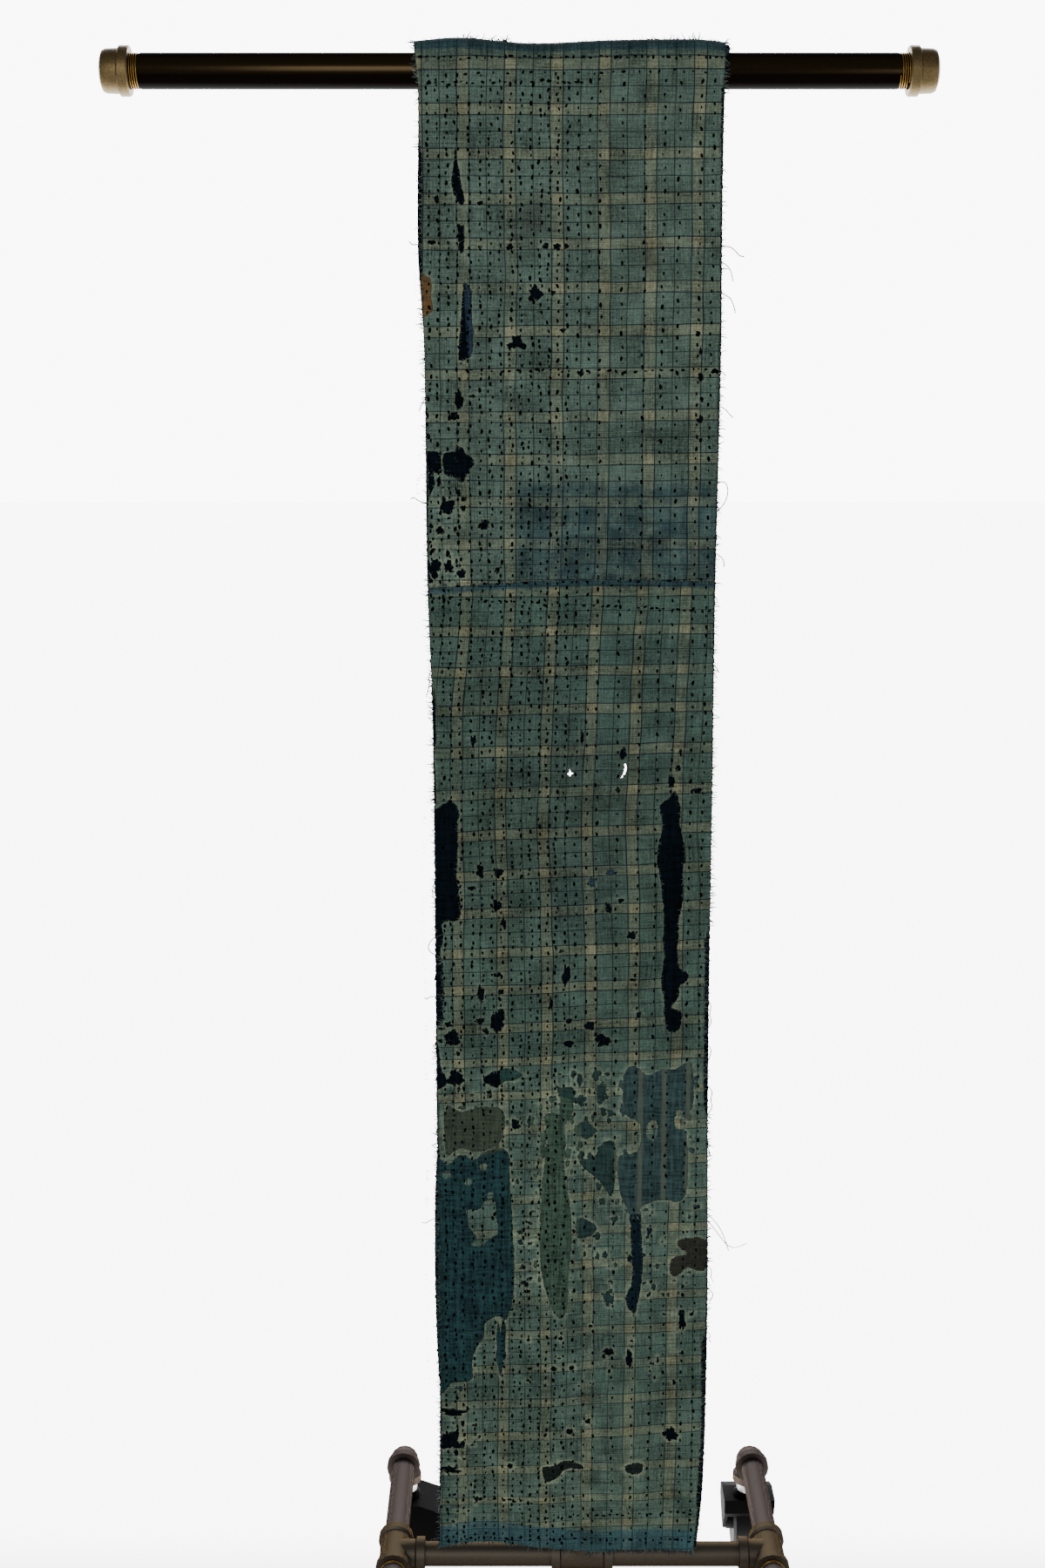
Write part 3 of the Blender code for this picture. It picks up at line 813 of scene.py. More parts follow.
for patch_name, finish_name, dark, light, out, corners in PATCHES:
    patch_finish, patch_tree, patch_shader = new_finish(finish_name, light, 0.95)
    patch_shader.inputs["Specular IOR Level"].default_value = 0.1
    tone = cotton_grain(patch_tree, patch_shader, dark, light, 90.0)
    if patch_name == "striped_patch":
        # Tan stripes run down this scrap, one pitch apart.
        place = add_node(patch_tree, "ShaderNodeTexCoord")
        parts = add_node(patch_tree, "ShaderNodeSeparateXYZ", {0: place.outputs["Object"]})
        beside = parts.outputs["X"]
        for operation, amount in (("DIVIDE", STRIPE_PITCH), ("ADD", STRIPE_START), ("PINGPONG", 0.5)):
            step = add_node(patch_tree, "ShaderNodeMath", {0: beside, 1: amount}, operation=operation)
            beside = step.outputs[0]
        stripe = add_node(
            patch_tree,
            "ShaderNodeMapRange",
            {"Value": beside, "From Min": 0.14, "From Max": 0.06, "To Max": 0.6},
        )
        striped = add_node(
            patch_tree,
            "ShaderNodeMix",
            {0: stripe.outputs[0], 6: tone.outputs[2], 7: linear("#555b4c")},
            data_type="RGBA",
        )
        patch_tree.links.new(striped.outputs[2], patch_shader.inputs["Base Color"])
    patch_rim = torn_loop(corners, 0.0008)
    patch = cut_sheet(patch_name, patch_rim, [], [], PATCH_STEP, out, PATCH_THICK, patch_finish)

# --- The plaid face -------------------------------------------------------------------------------
# Two panels of handwoven cotton plaid, sewn end to end at the cross seam. Tan bands and dark lines run
# both ways over a faded green-blue ground, and the cloth is worn through in many places.

# The plaid's repeats and where it starts on each panel, in mm.
WARP_REPEAT = 44.3
WEFT_REPEAT = 40.5
UPPER_WARP_START = 53
UPPER_WEFT_START = 4.6
LOWER_WARP_START = 61.5
# The face is faded from this far up the bar's bend, and unfaded beside the seam and the hem.
FADED_OVER_BAR = 0.016
SEAM_BAND = 0.006
HEM_BAND = 0.024
FACE_STEP = 0.0046
FACE_OUT = 0.0023
FACE_THICK = 0.0005

# Weft bands of the lower panel: drop in mm, number of the band.
LOWER_BANDS = (
    (446, -1), (487.3, 0), (526, 1), (566, 2), (604, 3), (646, 4), (688, 5), (730, 6), (771, 7),
    (811, 8), (853, 9), (892, 10), (932, 11), (968.5, 12), (1006, 13), (1271.5, 20), (1310.6, 21),
    (1351, 22), (1390, 23), (1430, 24), (1467, 25), (1497, 26), (1536, 27),
)

# How much the weft bands rise from left to right: drop, rise, in mm.
WEFT_RISE = (
    (480, 2), (600, 5), (740, 10), (960, 12), (1100, 13), (1300, 16), (1420, 14), (1500, 9), (1540, 6),
)

# How far the lower panel's warp wanders to the right: drop, at the left, at the right, in mm.
LOWER_LEAN = (
    (480, 12.0, 2.0), (550, 6.0, 0.5), (610, 1.5, -1.5), (720, -2.5, -4.6), (800, 0.0, 0.0),
    (1540, 0.0, 0.0),
)

# Soft stains and faded places: x, drop, half width, half height in mm, kind, strength.
STAINS = (
    (10, 135, 14, 18, "brown", 0.5), (72, 139, 16, 14, "brown", 0.45), (125, 170, 9, 16, "brown", 0.75),
    (-8, 361, 10, 9, "brown", 0.5), (120, 470, 10, 7, "brown", 0.8), (81, 451, 9, 6, "brown", 0.5),
    (-30, 590, 16, 14, "brown", 0.35), (26, 748, 20, 16, "brown", 0.55),
    (10, 735, 60, 40, "brown", 0.25), (80, 1445, 6.5, 6.5, "dark", 0.9), (103, 649, 4, 8, "dark", 0.9),
    (60, 1440, 170, 90, "pale", 0.85), (60, 720, 120, 110, "brown", 0.2),
    (-60, 1290, 20, 20, "pale", 0.2), (150, 1290, 60, 50, "pale", 0.35),
    (20, 1180, 20, 90, "pale", 0.55), (80, 1210, 40, 60, "pale", 0.4), (20, 1010, 90, 22, "pale", 0.4),
    (-70, 440, 22, 34, "pale", 0.55), (-60, 250, 30, 120, "pale", 0.15), (95, 60, 90, 60, "pale", 0.15),
    (-60, 860, 30, 60, "pale", 0.25), (60, 640, 90, 60, "blue", 0.3), (70, 560, 110, 40, "blue", 0.18),
    (60, 780, 40, 60, "blue", 0.4),
)
BLUE_ZONE = (-0.002, 0.230, 0.384, 0.476)

HOLES_UPPER = (
    (-55, 156, 8, 25), (-83, 157, 6.5, 5), (-78, 117, 5, 5), (-37, 121, 6.5, 4), (-9, 161, 6, 7),
    (-37, 161, 4, 3), (25, 160, 5, 5), (36, 161, 6.6, 6.4), (44, 160, 5, 5), (15, 205, 12, 15),
    (32, 203, 5, 5), (-2, 250, 15, 11), (41, 238, 7.5, 4), (170, 241, 5, 5), (173, 258, 3.4, 8),
    (173, 282, 5, 7), (175, 303, 4, 6), (173, 322, 5, 7), (174, 341, 3.4, 4), (59, 278, 5, 6),
    (188, 276, 7, 5), (-57, 304, 8, 18), (-46, 300, 6, 3), (-64, 318, 9, 7.5), (-69, 406, 14, 10),
    (-54, 398, 5, 5), (-54, 406, 5, 5), (-34, 422, 10, 10), (-77, 428, 7, 8.5), (-86, 424, 4, 6),
    (-88, 440, 6, 4), (-84, 447, 5, 5), (-83, 466, 13, 18), (-91, 468, 9, 24), (-69, 464, 8.5, 12),
    (-57, 470, 8.5, 8), (-22, 467, 4, 7), (-57, 379, 7, 4), (-89, 318, 5, 9), (-88, 338, 4, 6),
)
TEARS_UPPER = (
    ((-60, 70), (-57, 88), (-54, 105), (-52, 121), (-55, 123), (-61, 114), (-64, 103), (-62, 88)),
    (
        (-52, 194), (-46, 200), (-45, 220), (-44, 241), (-45, 260), (-52, 266), (-58, 263), (-56, 233),
        (-54, 204),
    ),
    (
        (-73, 355), (-62, 352), (-61, 347), (-54, 349), (-51, 354), (-43, 362), (-49, 371), (-52, 378),
        (-55, 381), (-59, 380), (-62, 377), (-72, 373),
    ),
    ((-96, 353), (-83, 352), (-76, 355), (-76, 371), (-85, 372), (-96, 372)),
    ((-98, 377), (-84, 374), (-82, 380), (-84, 390), (-88, 396), (-98, 400)),
    ((-98, 188), (-86, 189), (-83, 196), (-84, 208), (-82, 216), (-85, 223), (-98, 224)),
)
HOLES_LOWER = (
    (-86, 639, 6, 113), (-46, 637, 5, 10), (62, 634, 2.6, 14), (103, 649, 5, 14), (98, 687, 4.5, 4.5),
    (160, 648, 3.6, 7), (158, 664, 4.4, 6), (151, 678, 5.4, 14), (176, 687, 10.5, 6), (-40, 770, 6, 12),
    (-22, 772, 9, 9), (-48, 788, 9, 4.6), (-23, 808, 8, 14), (-16, 825, 5, 11), (72, 782, 8, 11),
    (91, 772, 8, 7), (90, 808, 7, 11), (102, 801, 6, 4.6), (113, 837, 8, 9), (-23, 879, 9, 5.6),
    (48, 880, 8, 17), (42, 854, 4.5, 4.5), (116, 884, 7, 3), (-22, 928, 13, 21.5), (-40, 900, 7, 15),
    (-19, 897, 6, 5), (-40, 928, 10.6, 6.5), (-72, 932, 7, 6.6), (-68, 948, 13, 15), (50, 928, 6, 5),
    (71, 933, 9, 10), (86, 949, 16, 13), (50, 953, 10, 5.6), (122, 922, 4.6, 7.4), (32, 908, 2.7, 16),
    (-65, 990, 16, 15), (-4, 1040, 9, 9), (-2, 1102, 5.5, 5.5), (0, 1159, 5.5, 5.5),
    (1, 1170, 5.5, 5.5), (3, 1198, 5.5, 5.5), (4, 1215, 5.5, 5.5), (94, 1233, 11, 14),
    (178, 1068, 7, 7), (184, 1131, 7, 7), (94, 1294, 10, 9), (116, 1306, 7.6, 22), (171, 1260, 8, 20),
    (36, 1314, 6, 6), (55, 1313, 6, 6), (53, 1387, 7, 7), (73, 1376, 6, 6), (160, 1391, 14, 15),
    (-11, 1428, 6, 6), (-74, 1399, 21, 18), (-71, 1365, 25, 9), (-74, 1433, 23, 8), (-49, 1265, 15, 9),
    (-20, 1295, 11, 58), (84, 1004, 8, 20),
)
TEARS_LOWER = (
    # The long slit on the right.
    (
        (156, 688), (148, 696), (140, 704), (143, 722), (138, 755), (141, 776), (145, 806), (146, 827),
        (145, 843), (147, 855), (146, 868), (144, 889), (147, 904), (148, 925), (151, 937), (157, 941),
        (164, 935), (165, 919), (155, 914), (162, 903), (163, 891), (170, 886), (171, 878), (162, 871),
        (160, 860), (161, 838), (161, 822), (165, 799), (164, 773), (167, 758), (165, 742), (160, 720),
        (161, 708),
    ),
    # The dark place at the left edge.
    (
        (-67, 697), (-60, 710), (-62, 722), (-62, 752), (-63, 776), (-60, 799), (-61, 820), (-78, 825),
        (-77, 840), (-80, 857), (-78, 889), (-80, 898), (-96, 899), (-96, 714), (-84, 706), (-74, 700),
    ),
    ((-96, 932), (-88, 932), (-82, 963), (-80, 982), (-76, 988), (-77, 999), (-96, 999)),
    (
        (-38, 992), (-31, 985), (-22, 981), (-10, 979), (3, 985), (-4, 991), (-15, 994), (-24, 1000),
        (-32, 997),
    ),
    # The deep blue place, worn away from the left edge.
    (
        (-96, 1091), (-74, 1084), (-61, 1073), (-47, 1078), (-29, 1067), (-12, 1071), (-10, 1108),
        (-7, 1153), (-6, 1198), (-7, 1234), (-14, 1257), (-23, 1254), (-36, 1262), (-38, 1278),
        (-45, 1290), (-50, 1306), (-51, 1327), (-70, 1330), (-96, 1332),
    ),
    # The olive place above it.
    (
        (-76, 1022), (-60, 1026), (-40, 1021), (-18, 1024), (-16, 1046), (-22, 1062), (-44, 1070),
        (-62, 1066), (-76, 1072),
    ),
    # The spindle with two rows of stitches.
    (
        (26, 1030), (29, 1059), (24, 1096), (22, 1123), (21, 1163), (22, 1198), (27, 1223), (34, 1244),
        (43, 1256), (50, 1244), (51, 1218), (53, 1188), (54, 1163), (53, 1133), (48, 1103), (46, 1078),
        (47, 1059), (43, 1030),
    ),
    # The striped indigo place.
    (
        (107, 987), (118, 976), (131, 986), (147, 980), (159, 980), (176, 974), (179, 1014),
        (173, 1028), (163, 1024), (161, 1043), (172, 1050), (174, 1108), (166, 1125), (149, 1123),
        (130, 1128), (116, 1138), (104, 1112), (102, 1076), (122, 1068), (124, 1040), (108, 1026),
    ),
    (
        (115, 1137), (126, 1136), (127, 1163), (129, 1198), (123, 1243), (118, 1249), (111, 1233),
        (118, 1208),
    ),
    (
        (62, 1078), (76, 1076), (87, 1059), (98, 1060), (100, 1084), (98, 1108), (94, 1118), (82, 1101),
        (69, 1090),
    ),
    ((59, 1145), (68, 1144), (80, 1153), (74, 1163), (60, 1164)),
    (
        (35, 993), (41, 999), (53, 999), (58, 1004), (55, 1014), (55, 1027), (47, 1034), (41, 1024),
        (42, 1010),
    ),
    ((56, 1045), (65, 1037), (77, 1043), (79, 1048), (68, 1056)),
    (
        (167, 1167), (180, 1165), (188, 1165), (197, 1172), (195, 1200), (187, 1202), (175, 1199),
        (164, 1209), (157, 1203), (160, 1188), (175, 1183), (166, 1175),
    ),
    (
        (24, 1430), (38, 1427), (45, 1422), (53, 1422), (66, 1427), (66, 1432), (49, 1432), (40, 1442),
        (28, 1446),
    ),
    ((113, 1428), (121, 1424), (131, 1425), (131, 1434), (122, 1438), (114, 1434)),
)
# Scraps of the face that are left standing inside its tears.
REMNANTS_LOWER = (
    (
        (-55, 1135), (-43, 1134), (-35, 1124), (-26, 1125), (-24, 1145), (-22, 1159), (-32, 1167),
        (-39, 1174), (-50, 1174), (-45, 1164), (-52, 1155),
    ),
    ((-81, 1094), (-74, 1091), (-71, 1097), (-77, 1100)),
    ((-57, 1101), (-50, 1100), (-50, 1106), (-56, 1107)),
    ((-41, 1084), (-35, 1083), (-34, 1089), (-40, 1090)),
    ((-33, 1115), (-28, 1114), (-28, 1120), (-33, 1121)),
    ((132, 1040), (139, 1034), (143, 1046), (138, 1058), (131, 1052)),
)
# Places worn to many small holes: left, right, top, bottom, how many, smallest and largest size, in mm.
WORN_PLACES = (
    (8, 182, 984, 1076, 84, 2, 8), (6, 120, 1076, 1260, 64, 2, 6), (130, 182, 1130, 1262, 28, 2, 5),
    (-84, -8, 1012, 1086, 22, 2, 7), (-30, 188, 1262, 1335, 22, 2, 5), (-88, -58, 340, 474, 22, 2, 5),
    (-86, -40, 1335, 1500, 22, 2, 5), (-86, -10, 930, 1010, 12, 2, 5),
)

# How far the face stops short of the cloth's edges: drop, at the left, at the right, in mm.
SHORT_EDGES = (
    (-155, 1.2, 3.4), (60, 1.2, 3.0), (80, 4.0, 2.4), (180, 3.6, 2.0), (230, 1.0, 1.6), (340, 1.2, 1.6),
    (375, 2.6, 1.6), (480, 1.6, 2.0), (560, 1.0, 1.4), (830, 1.2, 1.6), (842, 1.2, 5.6),
    (855, 1.2, 5.2), (861, 7.0, 5.0), (930, 7.0, 5.0), (936, 1.0, 5.0), (1020, 1.6, 4.2),
    (1030, 1.0, 1.6), (1270, 1.0, 2.4), (1285, 1.2, 6.0), (1380, 1.4, 4.4), (1470, 1.4, 6.0),
    (1480, 1.2, 4.0), (1540, 1.0, 3.2),
)


# Half a tan band, and how far the dark line beside it lies from the band's middle, as shares of a repeat.
TAN_HALF = 0.118
LINE_AWAY = 0.130


def plaid_finish(name, ground, tan, crossing, line, unfaded):
    """Handwoven plaid cotton: bands and lines both ways, faded, stained, and pale at its worn rims."""
    material, tree, shader = new_finish(name, ground, 0.95)
    shader.inputs["Specular IOR Level"].default_value = 0.15

    def math_node(operation, *values):
        return add_node(tree, "ShaderNodeMath", dict(enumerate(values)), operation=operation).outputs[0]

    def band(value, start, full, most=1.0):
        limits = {"Value": value, "From Min": start, "From Max": full, "To Max": most}
        return add_node(tree, "ShaderNodeMapRange", limits).outputs[0]

    def blend(share, first, second, mode="MIX"):
        sockets = {0: share, 6: first, 7: second}
        return add_node(tree, "ShaderNodeMix", sockets, data_type="RGBA", blend_type=mode).outputs[2]

    def grain(vector, scale, detail=2.0):
        sockets = {"Vector": vector, "Scale": scale, "Detail": detail}
        return add_node(tree, "ShaderNodeTexNoise", sockets).outputs[0]

    weave = add_node(tree, "ShaderNodeUVMap", uv_map="weave").outputs[0]
    place = add_node(tree, "ShaderNodeTexCoord").outputs["Object"]
    repeats = add_node(tree, "ShaderNodeSeparateXYZ", {0: weave})
    bands = []
    lines = []
    for thread in (repeats.outputs["X"], repeats.outputs["Y"]):
        away = math_node("PINGPONG", thread, 0.5)
        bands.append(band(away, TAN_HALF + 0.006, TAN_HALF - 0.006))
        beside = math_node("ABSOLUTE", math_node("SUBTRACT", away, LINE_AWAY))
        middle = math_node("SUBTRACT", 0.5, away)
        lines.append(math_node("MAXIMUM", band(beside, 0.016, 0.008), band(middle, 0.014, 0.007, 0.9)))
    tan_share = math_node("MINIMUM", math_node("MULTIPLY", math_node("ADD", bands[0], bands[1]), 0.52), 1.0)
    uneven = grain(place, 22.0)
    tan_share = math_node("MULTIPLY", tan_share, band(uneven, 0.15, 0.6))
    fresh = add_node(tree, "ShaderNodeAttribute", attribute_name="unfaded").outputs["Fac"]
    wavering = math_node("MULTIPLY_ADD", grain(place, 160.0), 0.004, -0.002)
    fresh_share = band(math_node("ADD", fresh, wavering), -0.0006, 0.0008)
    colour = blend(tan_share, linear(ground), linear(tan))
    crossed = math_node("MULTIPLY", math_node("MULTIPLY", bands[0], bands[1]), band(uneven, 0.2, 0.7))
    colour = blend(crossed, colour, linear(crossing))
    shares = {}
    for kind in ("blue", "brown", "pale", "dark"):
        amount = add_node(tree, "ShaderNodeAttribute", attribute_name=kind).outputs["Fac"]
        shares[kind] = math_node("MULTIPLY", amount, band(grain(place, 70.0, 4.0), 0.2, 0.62))
    colour = blend(shares["blue"], colour, blend(tan_share, linear("#24383c"), linear("#434f48")))
    colour = blend(shares["pale"], colour, blend(tan_share, linear("#54665a"), linear("#75785f")))
    colour = blend(shares["brown"], colour, linear("#332f21"))
    line_share = math_node("MAXIMUM", lines[0], lines[1])
    line_share = math_node("MULTIPLY", line_share, band(uneven, 0.0, 0.45, 0.95))
    kept_line = math_node("SUBTRACT", 1.0, math_node("MULTIPLY", shares["pale"], 0.5))
    line_share = math_node("MULTIPLY", line_share, kept_line)
    colour = blend(line_share, colour, linear(line))
    unfaded_tone = blend(math_node("MULTIPLY", tan_share, 0.35), linear(unfaded), linear("#3c5a5b"))
    unfaded_tone = blend(line_share, unfaded_tone, linear("#0f2b3a"))
    colour = blend(math_node("MULTIPLY", fresh_share, 0.78), colour, unfaded_tone)
    rim = add_node(tree, "ShaderNodeAttribute", attribute_name="worn_rim").outputs["Fac"]
    rim_share = math_node("MULTIPLY", rim, math_node("ADD", 0.12, math_node("MULTIPLY", shares["pale"], 1.1)))
    colour = blend(math_node("MINIMUM", rim_share, 0.85), colour, linear("#7c8670"))
    colour = blend(shares["dark"], colour, linear("#151c1e"))
    # Single threads a little lighter and darker than the next, at about twice their real pitch.
    warp_streak = add_node(tree, "ShaderNodeMapping", {"Vector": weave, "Scale": (48.0, 1.3, 1.0)}).outputs[0]
    weft_streak = add_node(tree, "ShaderNodeMapping", {"Vector": weave, "Scale": (1.3, 44.0, 1.0)}).outputs[0]
    streaks = math_node("ADD", grain(warp_streak, 1.0), grain(weft_streak, 1.0))
    mottled = math_node("ADD", streaks, grain(place, 30.0, 5.0))
    fluff = math_node("MULTIPLY", grain(place, 520.0, 1.0), 0.8)
    shade = band(math_node("ADD", mottled, fluff), 1.35, 2.45)
    shade = math_node("MULTIPLY_ADD", shade, 1.90, 0.07)
    light = add_node(tree, "ShaderNodeCombineColor", {0: shade, 1: shade, 2: shade}).outputs[0]
    colour = blend(1.0, colour, light, "MULTIPLY")
    tree.links.new(colour, shader.inputs["Base Color"])
    bump = add_node(tree, "ShaderNodeBump", {"Height": streaks, "Strength": 0.6, "Distance": 0.0003})
    tree.links.new(bump.outputs[0], shader.inputs["Normal"])
    return material


def stain_facts(x, along):
    """How strong each kind of stain or fading is at a place."""
    found = {"blue": 0.0, "brown": 0.0, "pale": 0.0, "dark": 0.0}
    for mid_x, mid_drop, half_x, half_drop, kind, strength in STAINS:
        away = ((x * 1000 - mid_x) / half_x) ** 2 + ((along * 1000 - mid_drop) / half_drop) ** 2
        if away < 6:
            found[kind] = max(found[kind], strength * math.exp(-away))
    left, right, top, bottom = BLUE_ZONE
    inward = min(x - left, right - x, along - top, bottom - along)
    found["blue"] = max(found["blue"], 0.85 * max(0.0, min(1.0, inward / 0.006 + 0.5)))
    if 0.96 < along < 1.35:
        found["pale"] = max(found["pale"], 0.30 * min(1.0, (along - 0.96) / 0.03, (1.35 - along) / 0.05))
    return found


def bent(x, along):
    """The weave's own unevenness: how far a thread wanders from straight, in mm, both ways."""
    spot = Vector((x, along, 0.0))
    across = 1.0 * noise.noise(spot * 25) + 1.8 * noise.noise(spot * 8 + Vector((5, 0, 0)))
    down = 1.0 * noise.noise(spot * 25 + Vector((0, 9, 0))) + 1.6 * noise.noise(spot * 8 + Vector((0, 0, 7)))
    return across, down


def upper_facts(x, along):
    across, down = bent(x, along)
    rise = 1.5 * (width_share(x, along) - 0.5)
    facts = stain_facts(x, along)
    facts["weave"] = (
        (x * 1000 + UPPER_WARP_START + across) / WARP_REPEAT,
        (along * 1000 + UPPER_WEFT_START + rise + down) / WEFT_REPEAT,
    )
    facts["unfaded"] = -along - FADED_OVER_BAR
    return facts


def lower_facts(x, along):
    across, down = bent(x, along)
    share = width_share(x, along)
    left_lean = read_at(LOWER_LEAN, along * 1000, 1)
    shift = left_lean + (read_at(LOWER_LEAN, along * 1000, 2) - left_lean) * share
    rise = read_at(WEFT_RISE, along * 1000) * (share - 0.5)
    facts = stain_facts(x, along)
    number = read_at(LOWER_BANDS, along * 1000 + rise + down)
    facts["weave"] = ((x * 1000 + LOWER_WARP_START - shift + across) / WARP_REPEAT, number)
    below_seam = along - read_at(SEAM, share)
    above_hem = read_at(HEM, share) - along
    facts["unfaded"] = max(SEAM_BAND - below_seam, HEM_BAND - above_hem)
    if below_seam < SEAM_BAND:
        facts["dark"] = max(facts["dark"], 0.45)
    return facts


def face_sides(along):
    left, right = cloth_sides(along)
    short_left = read_at(SHORT_EDGES, along * 1000, 1)
    short_right = read_at(SHORT_EDGES, along * 1000, 2)
    return left + short_left / 1000, right - short_right / 1000


worn_rng = random.Random(17)
worn_places = {"upper": [], "lower": []}
for left, right, top, bottom, many, smallest, largest in WORN_PLACES:
    for k in range(many):
        width = worn_rng.uniform(smallest, largest)
        spot = (worn_rng.uniform(left, right), worn_rng.uniform(top, bottom))
        height = width * worn_rng.uniform(0.5, 2.0)
        worn_places["upper" if bottom < 480 else "lower"].append((*spot, width, height))

upper_plaid = plaid_finish("faded_plaid_cotton_upper", "#46574f", "#656954", "#6f705a", "#0a171e", "#223d45")
lower_plaid = plaid_finish("faded_plaid_cotton_lower", "#3c4f47", "#5e614d", "#696a53", "#09151b", "#2a474d")

face_upper = cut_sheet(
    "face_upper_cotton",
    panel_outline(
        lambda s: -OVER_BAR - TAIL_LENGTH,
        lambda s: read_at(SEAM, s) - 0.0003,
        face_sides,
        0.0018,
        (0.001, 0.0),
    ),
    [torn_loop(corners) for corners in TEARS_UPPER]
    + [worn_hole(*hole) for hole in (*HOLES_UPPER, *worn_places["upper"])],
    [],
    FACE_STEP,
    FACE_OUT,
    FACE_THICK,
    upper_plaid,
    upper_facts,
)
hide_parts("face_upper")

face_lower = cut_sheet(
    "face_lower_cotton",
    panel_outline(
        lambda s: read_at(SEAM, s) + 0.0003,
        lambda s: read_at(HEM, s) + 0.0005,
        face_sides,
        0.0024,
        (0.0, 0.0024),
    ),
    [torn_loop(corners) for corners in TEARS_LOWER]
    + [torn_loop(corners, 0.0003) for corners in THROUGH]
    + [worn_hole(*hole) for hole in (*HOLES_LOWER, *worn_places["lower"])],
    [torn_loop(corners) for corners in REMNANTS_LOWER],
    FACE_STEP,
    FACE_OUT,
    FACE_THICK,
    lower_plaid,
    lower_facts,
)
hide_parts("face_lower")

# --- The running stitches -------------------------------------------------------------------------
# Thick near-black cotton thread in upright rows through all the layers, closer and less even on the
# left, and in a few cross rows. Each stitch shows on the front as a short plump dash.


def scatter(name, spots, shape, finish, spread, seed):
    """One shape repeated at many spots: each has a place, the ways the shape runs and faces, and a size."""
    base = bpy.data.meshes.new(name)
    base.from_pydata([spot[0] for spot in spots], [], [])
    for column, layer_name in ((1, "runs"), (2, "faces_out")):
        layer = base.attributes.new(layer_name, "FLOAT_VECTOR", "POINT")
        layer.data.foreach_set("vector", [value for spot in spots for value in spot[column]])
    sizes = base.attributes.new("size", "FLOAT", "POINT")
    sizes.data.foreach_set("value", [spot[3] for spot in spots])
    points = bpy.data.objects.new(name, base)
    bpy.context.collection.objects.link(points)
    tree = bpy.data.node_groups.new(name, "GeometryNodeTree")
    tree.interface.new_socket("Geometry", in_out="INPUT", socket_type="NodeSocketGeometry")
    shape_in = tree.interface.new_socket("Repeated shape", in_out="INPUT", socket_type="NodeSocketObject")
    finish_in = tree.interface.new_socket("Finish", in_out="INPUT", socket_type="NodeSocketMaterial")
    spread_in = tree.interface.new_socket("Size spread", in_out="INPUT", socket_type="NodeSocketFloat")
    seed_in = tree.interface.new_socket("Seed", in_out="INPUT", socket_type="NodeSocketInt")
    tree.interface.new_socket("Geometry", in_out="OUTPUT", socket_type="NodeSocketGeometry")
    given = add_node(tree, "NodeGroupInput")
    shape_info = add_node(tree, "GeometryNodeObjectInfo", {"Object": given.outputs["Repeated shape"]})
    runs = add_node(tree, "GeometryNodeInputNamedAttribute", {"Name": "runs"}, data_type="FLOAT_VECTOR")
    out = add_node(tree, "GeometryNodeInputNamedAttribute", {"Name": "faces_out"}, data_type="FLOAT_VECTOR")
    size = add_node(tree, "GeometryNodeInputNamedAttribute", {"Name": "size"}, data_type="FLOAT")
    turned = add_node(
        tree,
        "FunctionNodeAxesToRotation",
        {0: runs.outputs[0], 1: out.outputs[0]},
        primary_axis="X",
        secondary_axis="Z",
    )
    least = add_node(tree, "ShaderNodeMath", {0: 1.0, 1: given.outputs["Size spread"]}, operation="SUBTRACT")
    most = add_node(tree, "ShaderNodeMath", {0: 1.0, 1: given.outputs["Size spread"]}, operation="ADD")
    chance = add_node(
        tree,
        "FunctionNodeRandomValue",
        {"Min": least.outputs[0], "Max": most.outputs[0], "Seed": given.outputs["Seed"]},
        data_type="FLOAT",
    )
    for socket in chance.inputs:
        if socket.name == "Min" and socket.type == "VALUE":
            tree.links.new(least.outputs[0], socket)
        if socket.name == "Max" and socket.type == "VALUE":
            tree.links.new(most.outputs[0], socket)
    drawn = next(socket for socket in chance.outputs if socket.type == "VALUE")
    scale = add_node(tree, "ShaderNodeMath", {0: size.outputs[0], 1: drawn}, operation="MULTIPLY")
    placed = add_node(
        tree,
        "GeometryNodeInstanceOnPoints",
        {
            "Points": given.outputs["Geometry"],
            "Instance": shape_info.outputs["Geometry"],
            "Rotation": turned.outputs[0],
            "Scale": scale.outputs[0],
        },
    )
    real = add_node(tree, "GeometryNodeRealizeInstances", {"Geometry": placed.outputs[0]})
    done = add_node(
        tree, "GeometryNodeSetMaterial", {"Geometry": real.outputs[0], "Material": given.outputs["Finish"]}
    )
    add_node(tree, "NodeGroupOutput", {0: done.outputs[0]})
    modifier = points.modifiers.new("repeats", "NODES")
    modifier.node_group = tree
    modifier[shape_in.identifier] = shape
    modifier[finish_in.identifier] = finish
    modifier[spread_in.identifier] = spread
    modifier[seed_in.identifier] = seed
    bpy.context.view_layer.update()
    mesh = bpy.data.meshes.new_from_object(points.evaluated_get(bpy.context.evaluated_depsgraph_get()))
    bpy.data.objects.remove(points)
    mesh.name = name
    mesh.shade_smooth()
    piece = bpy.data.objects.new(name, mesh)
    bpy.context.collection.objects.link(piece)
    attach(piece, "stand")
    return piece


# Stitch thread: near-black indigo cotton, matt and a little fuzzy.
stitch_cotton, _, stitch_shader = new_finish("indigo_black_thread", "#020405", 1.0)
stitch_shader.inputs["Specular IOR Level"].default_value = 0.02

STITCH_LENGTH = 0.0036
STITCH_WIDTH = 0.0020
STITCH_HEIGHT = 0.0009


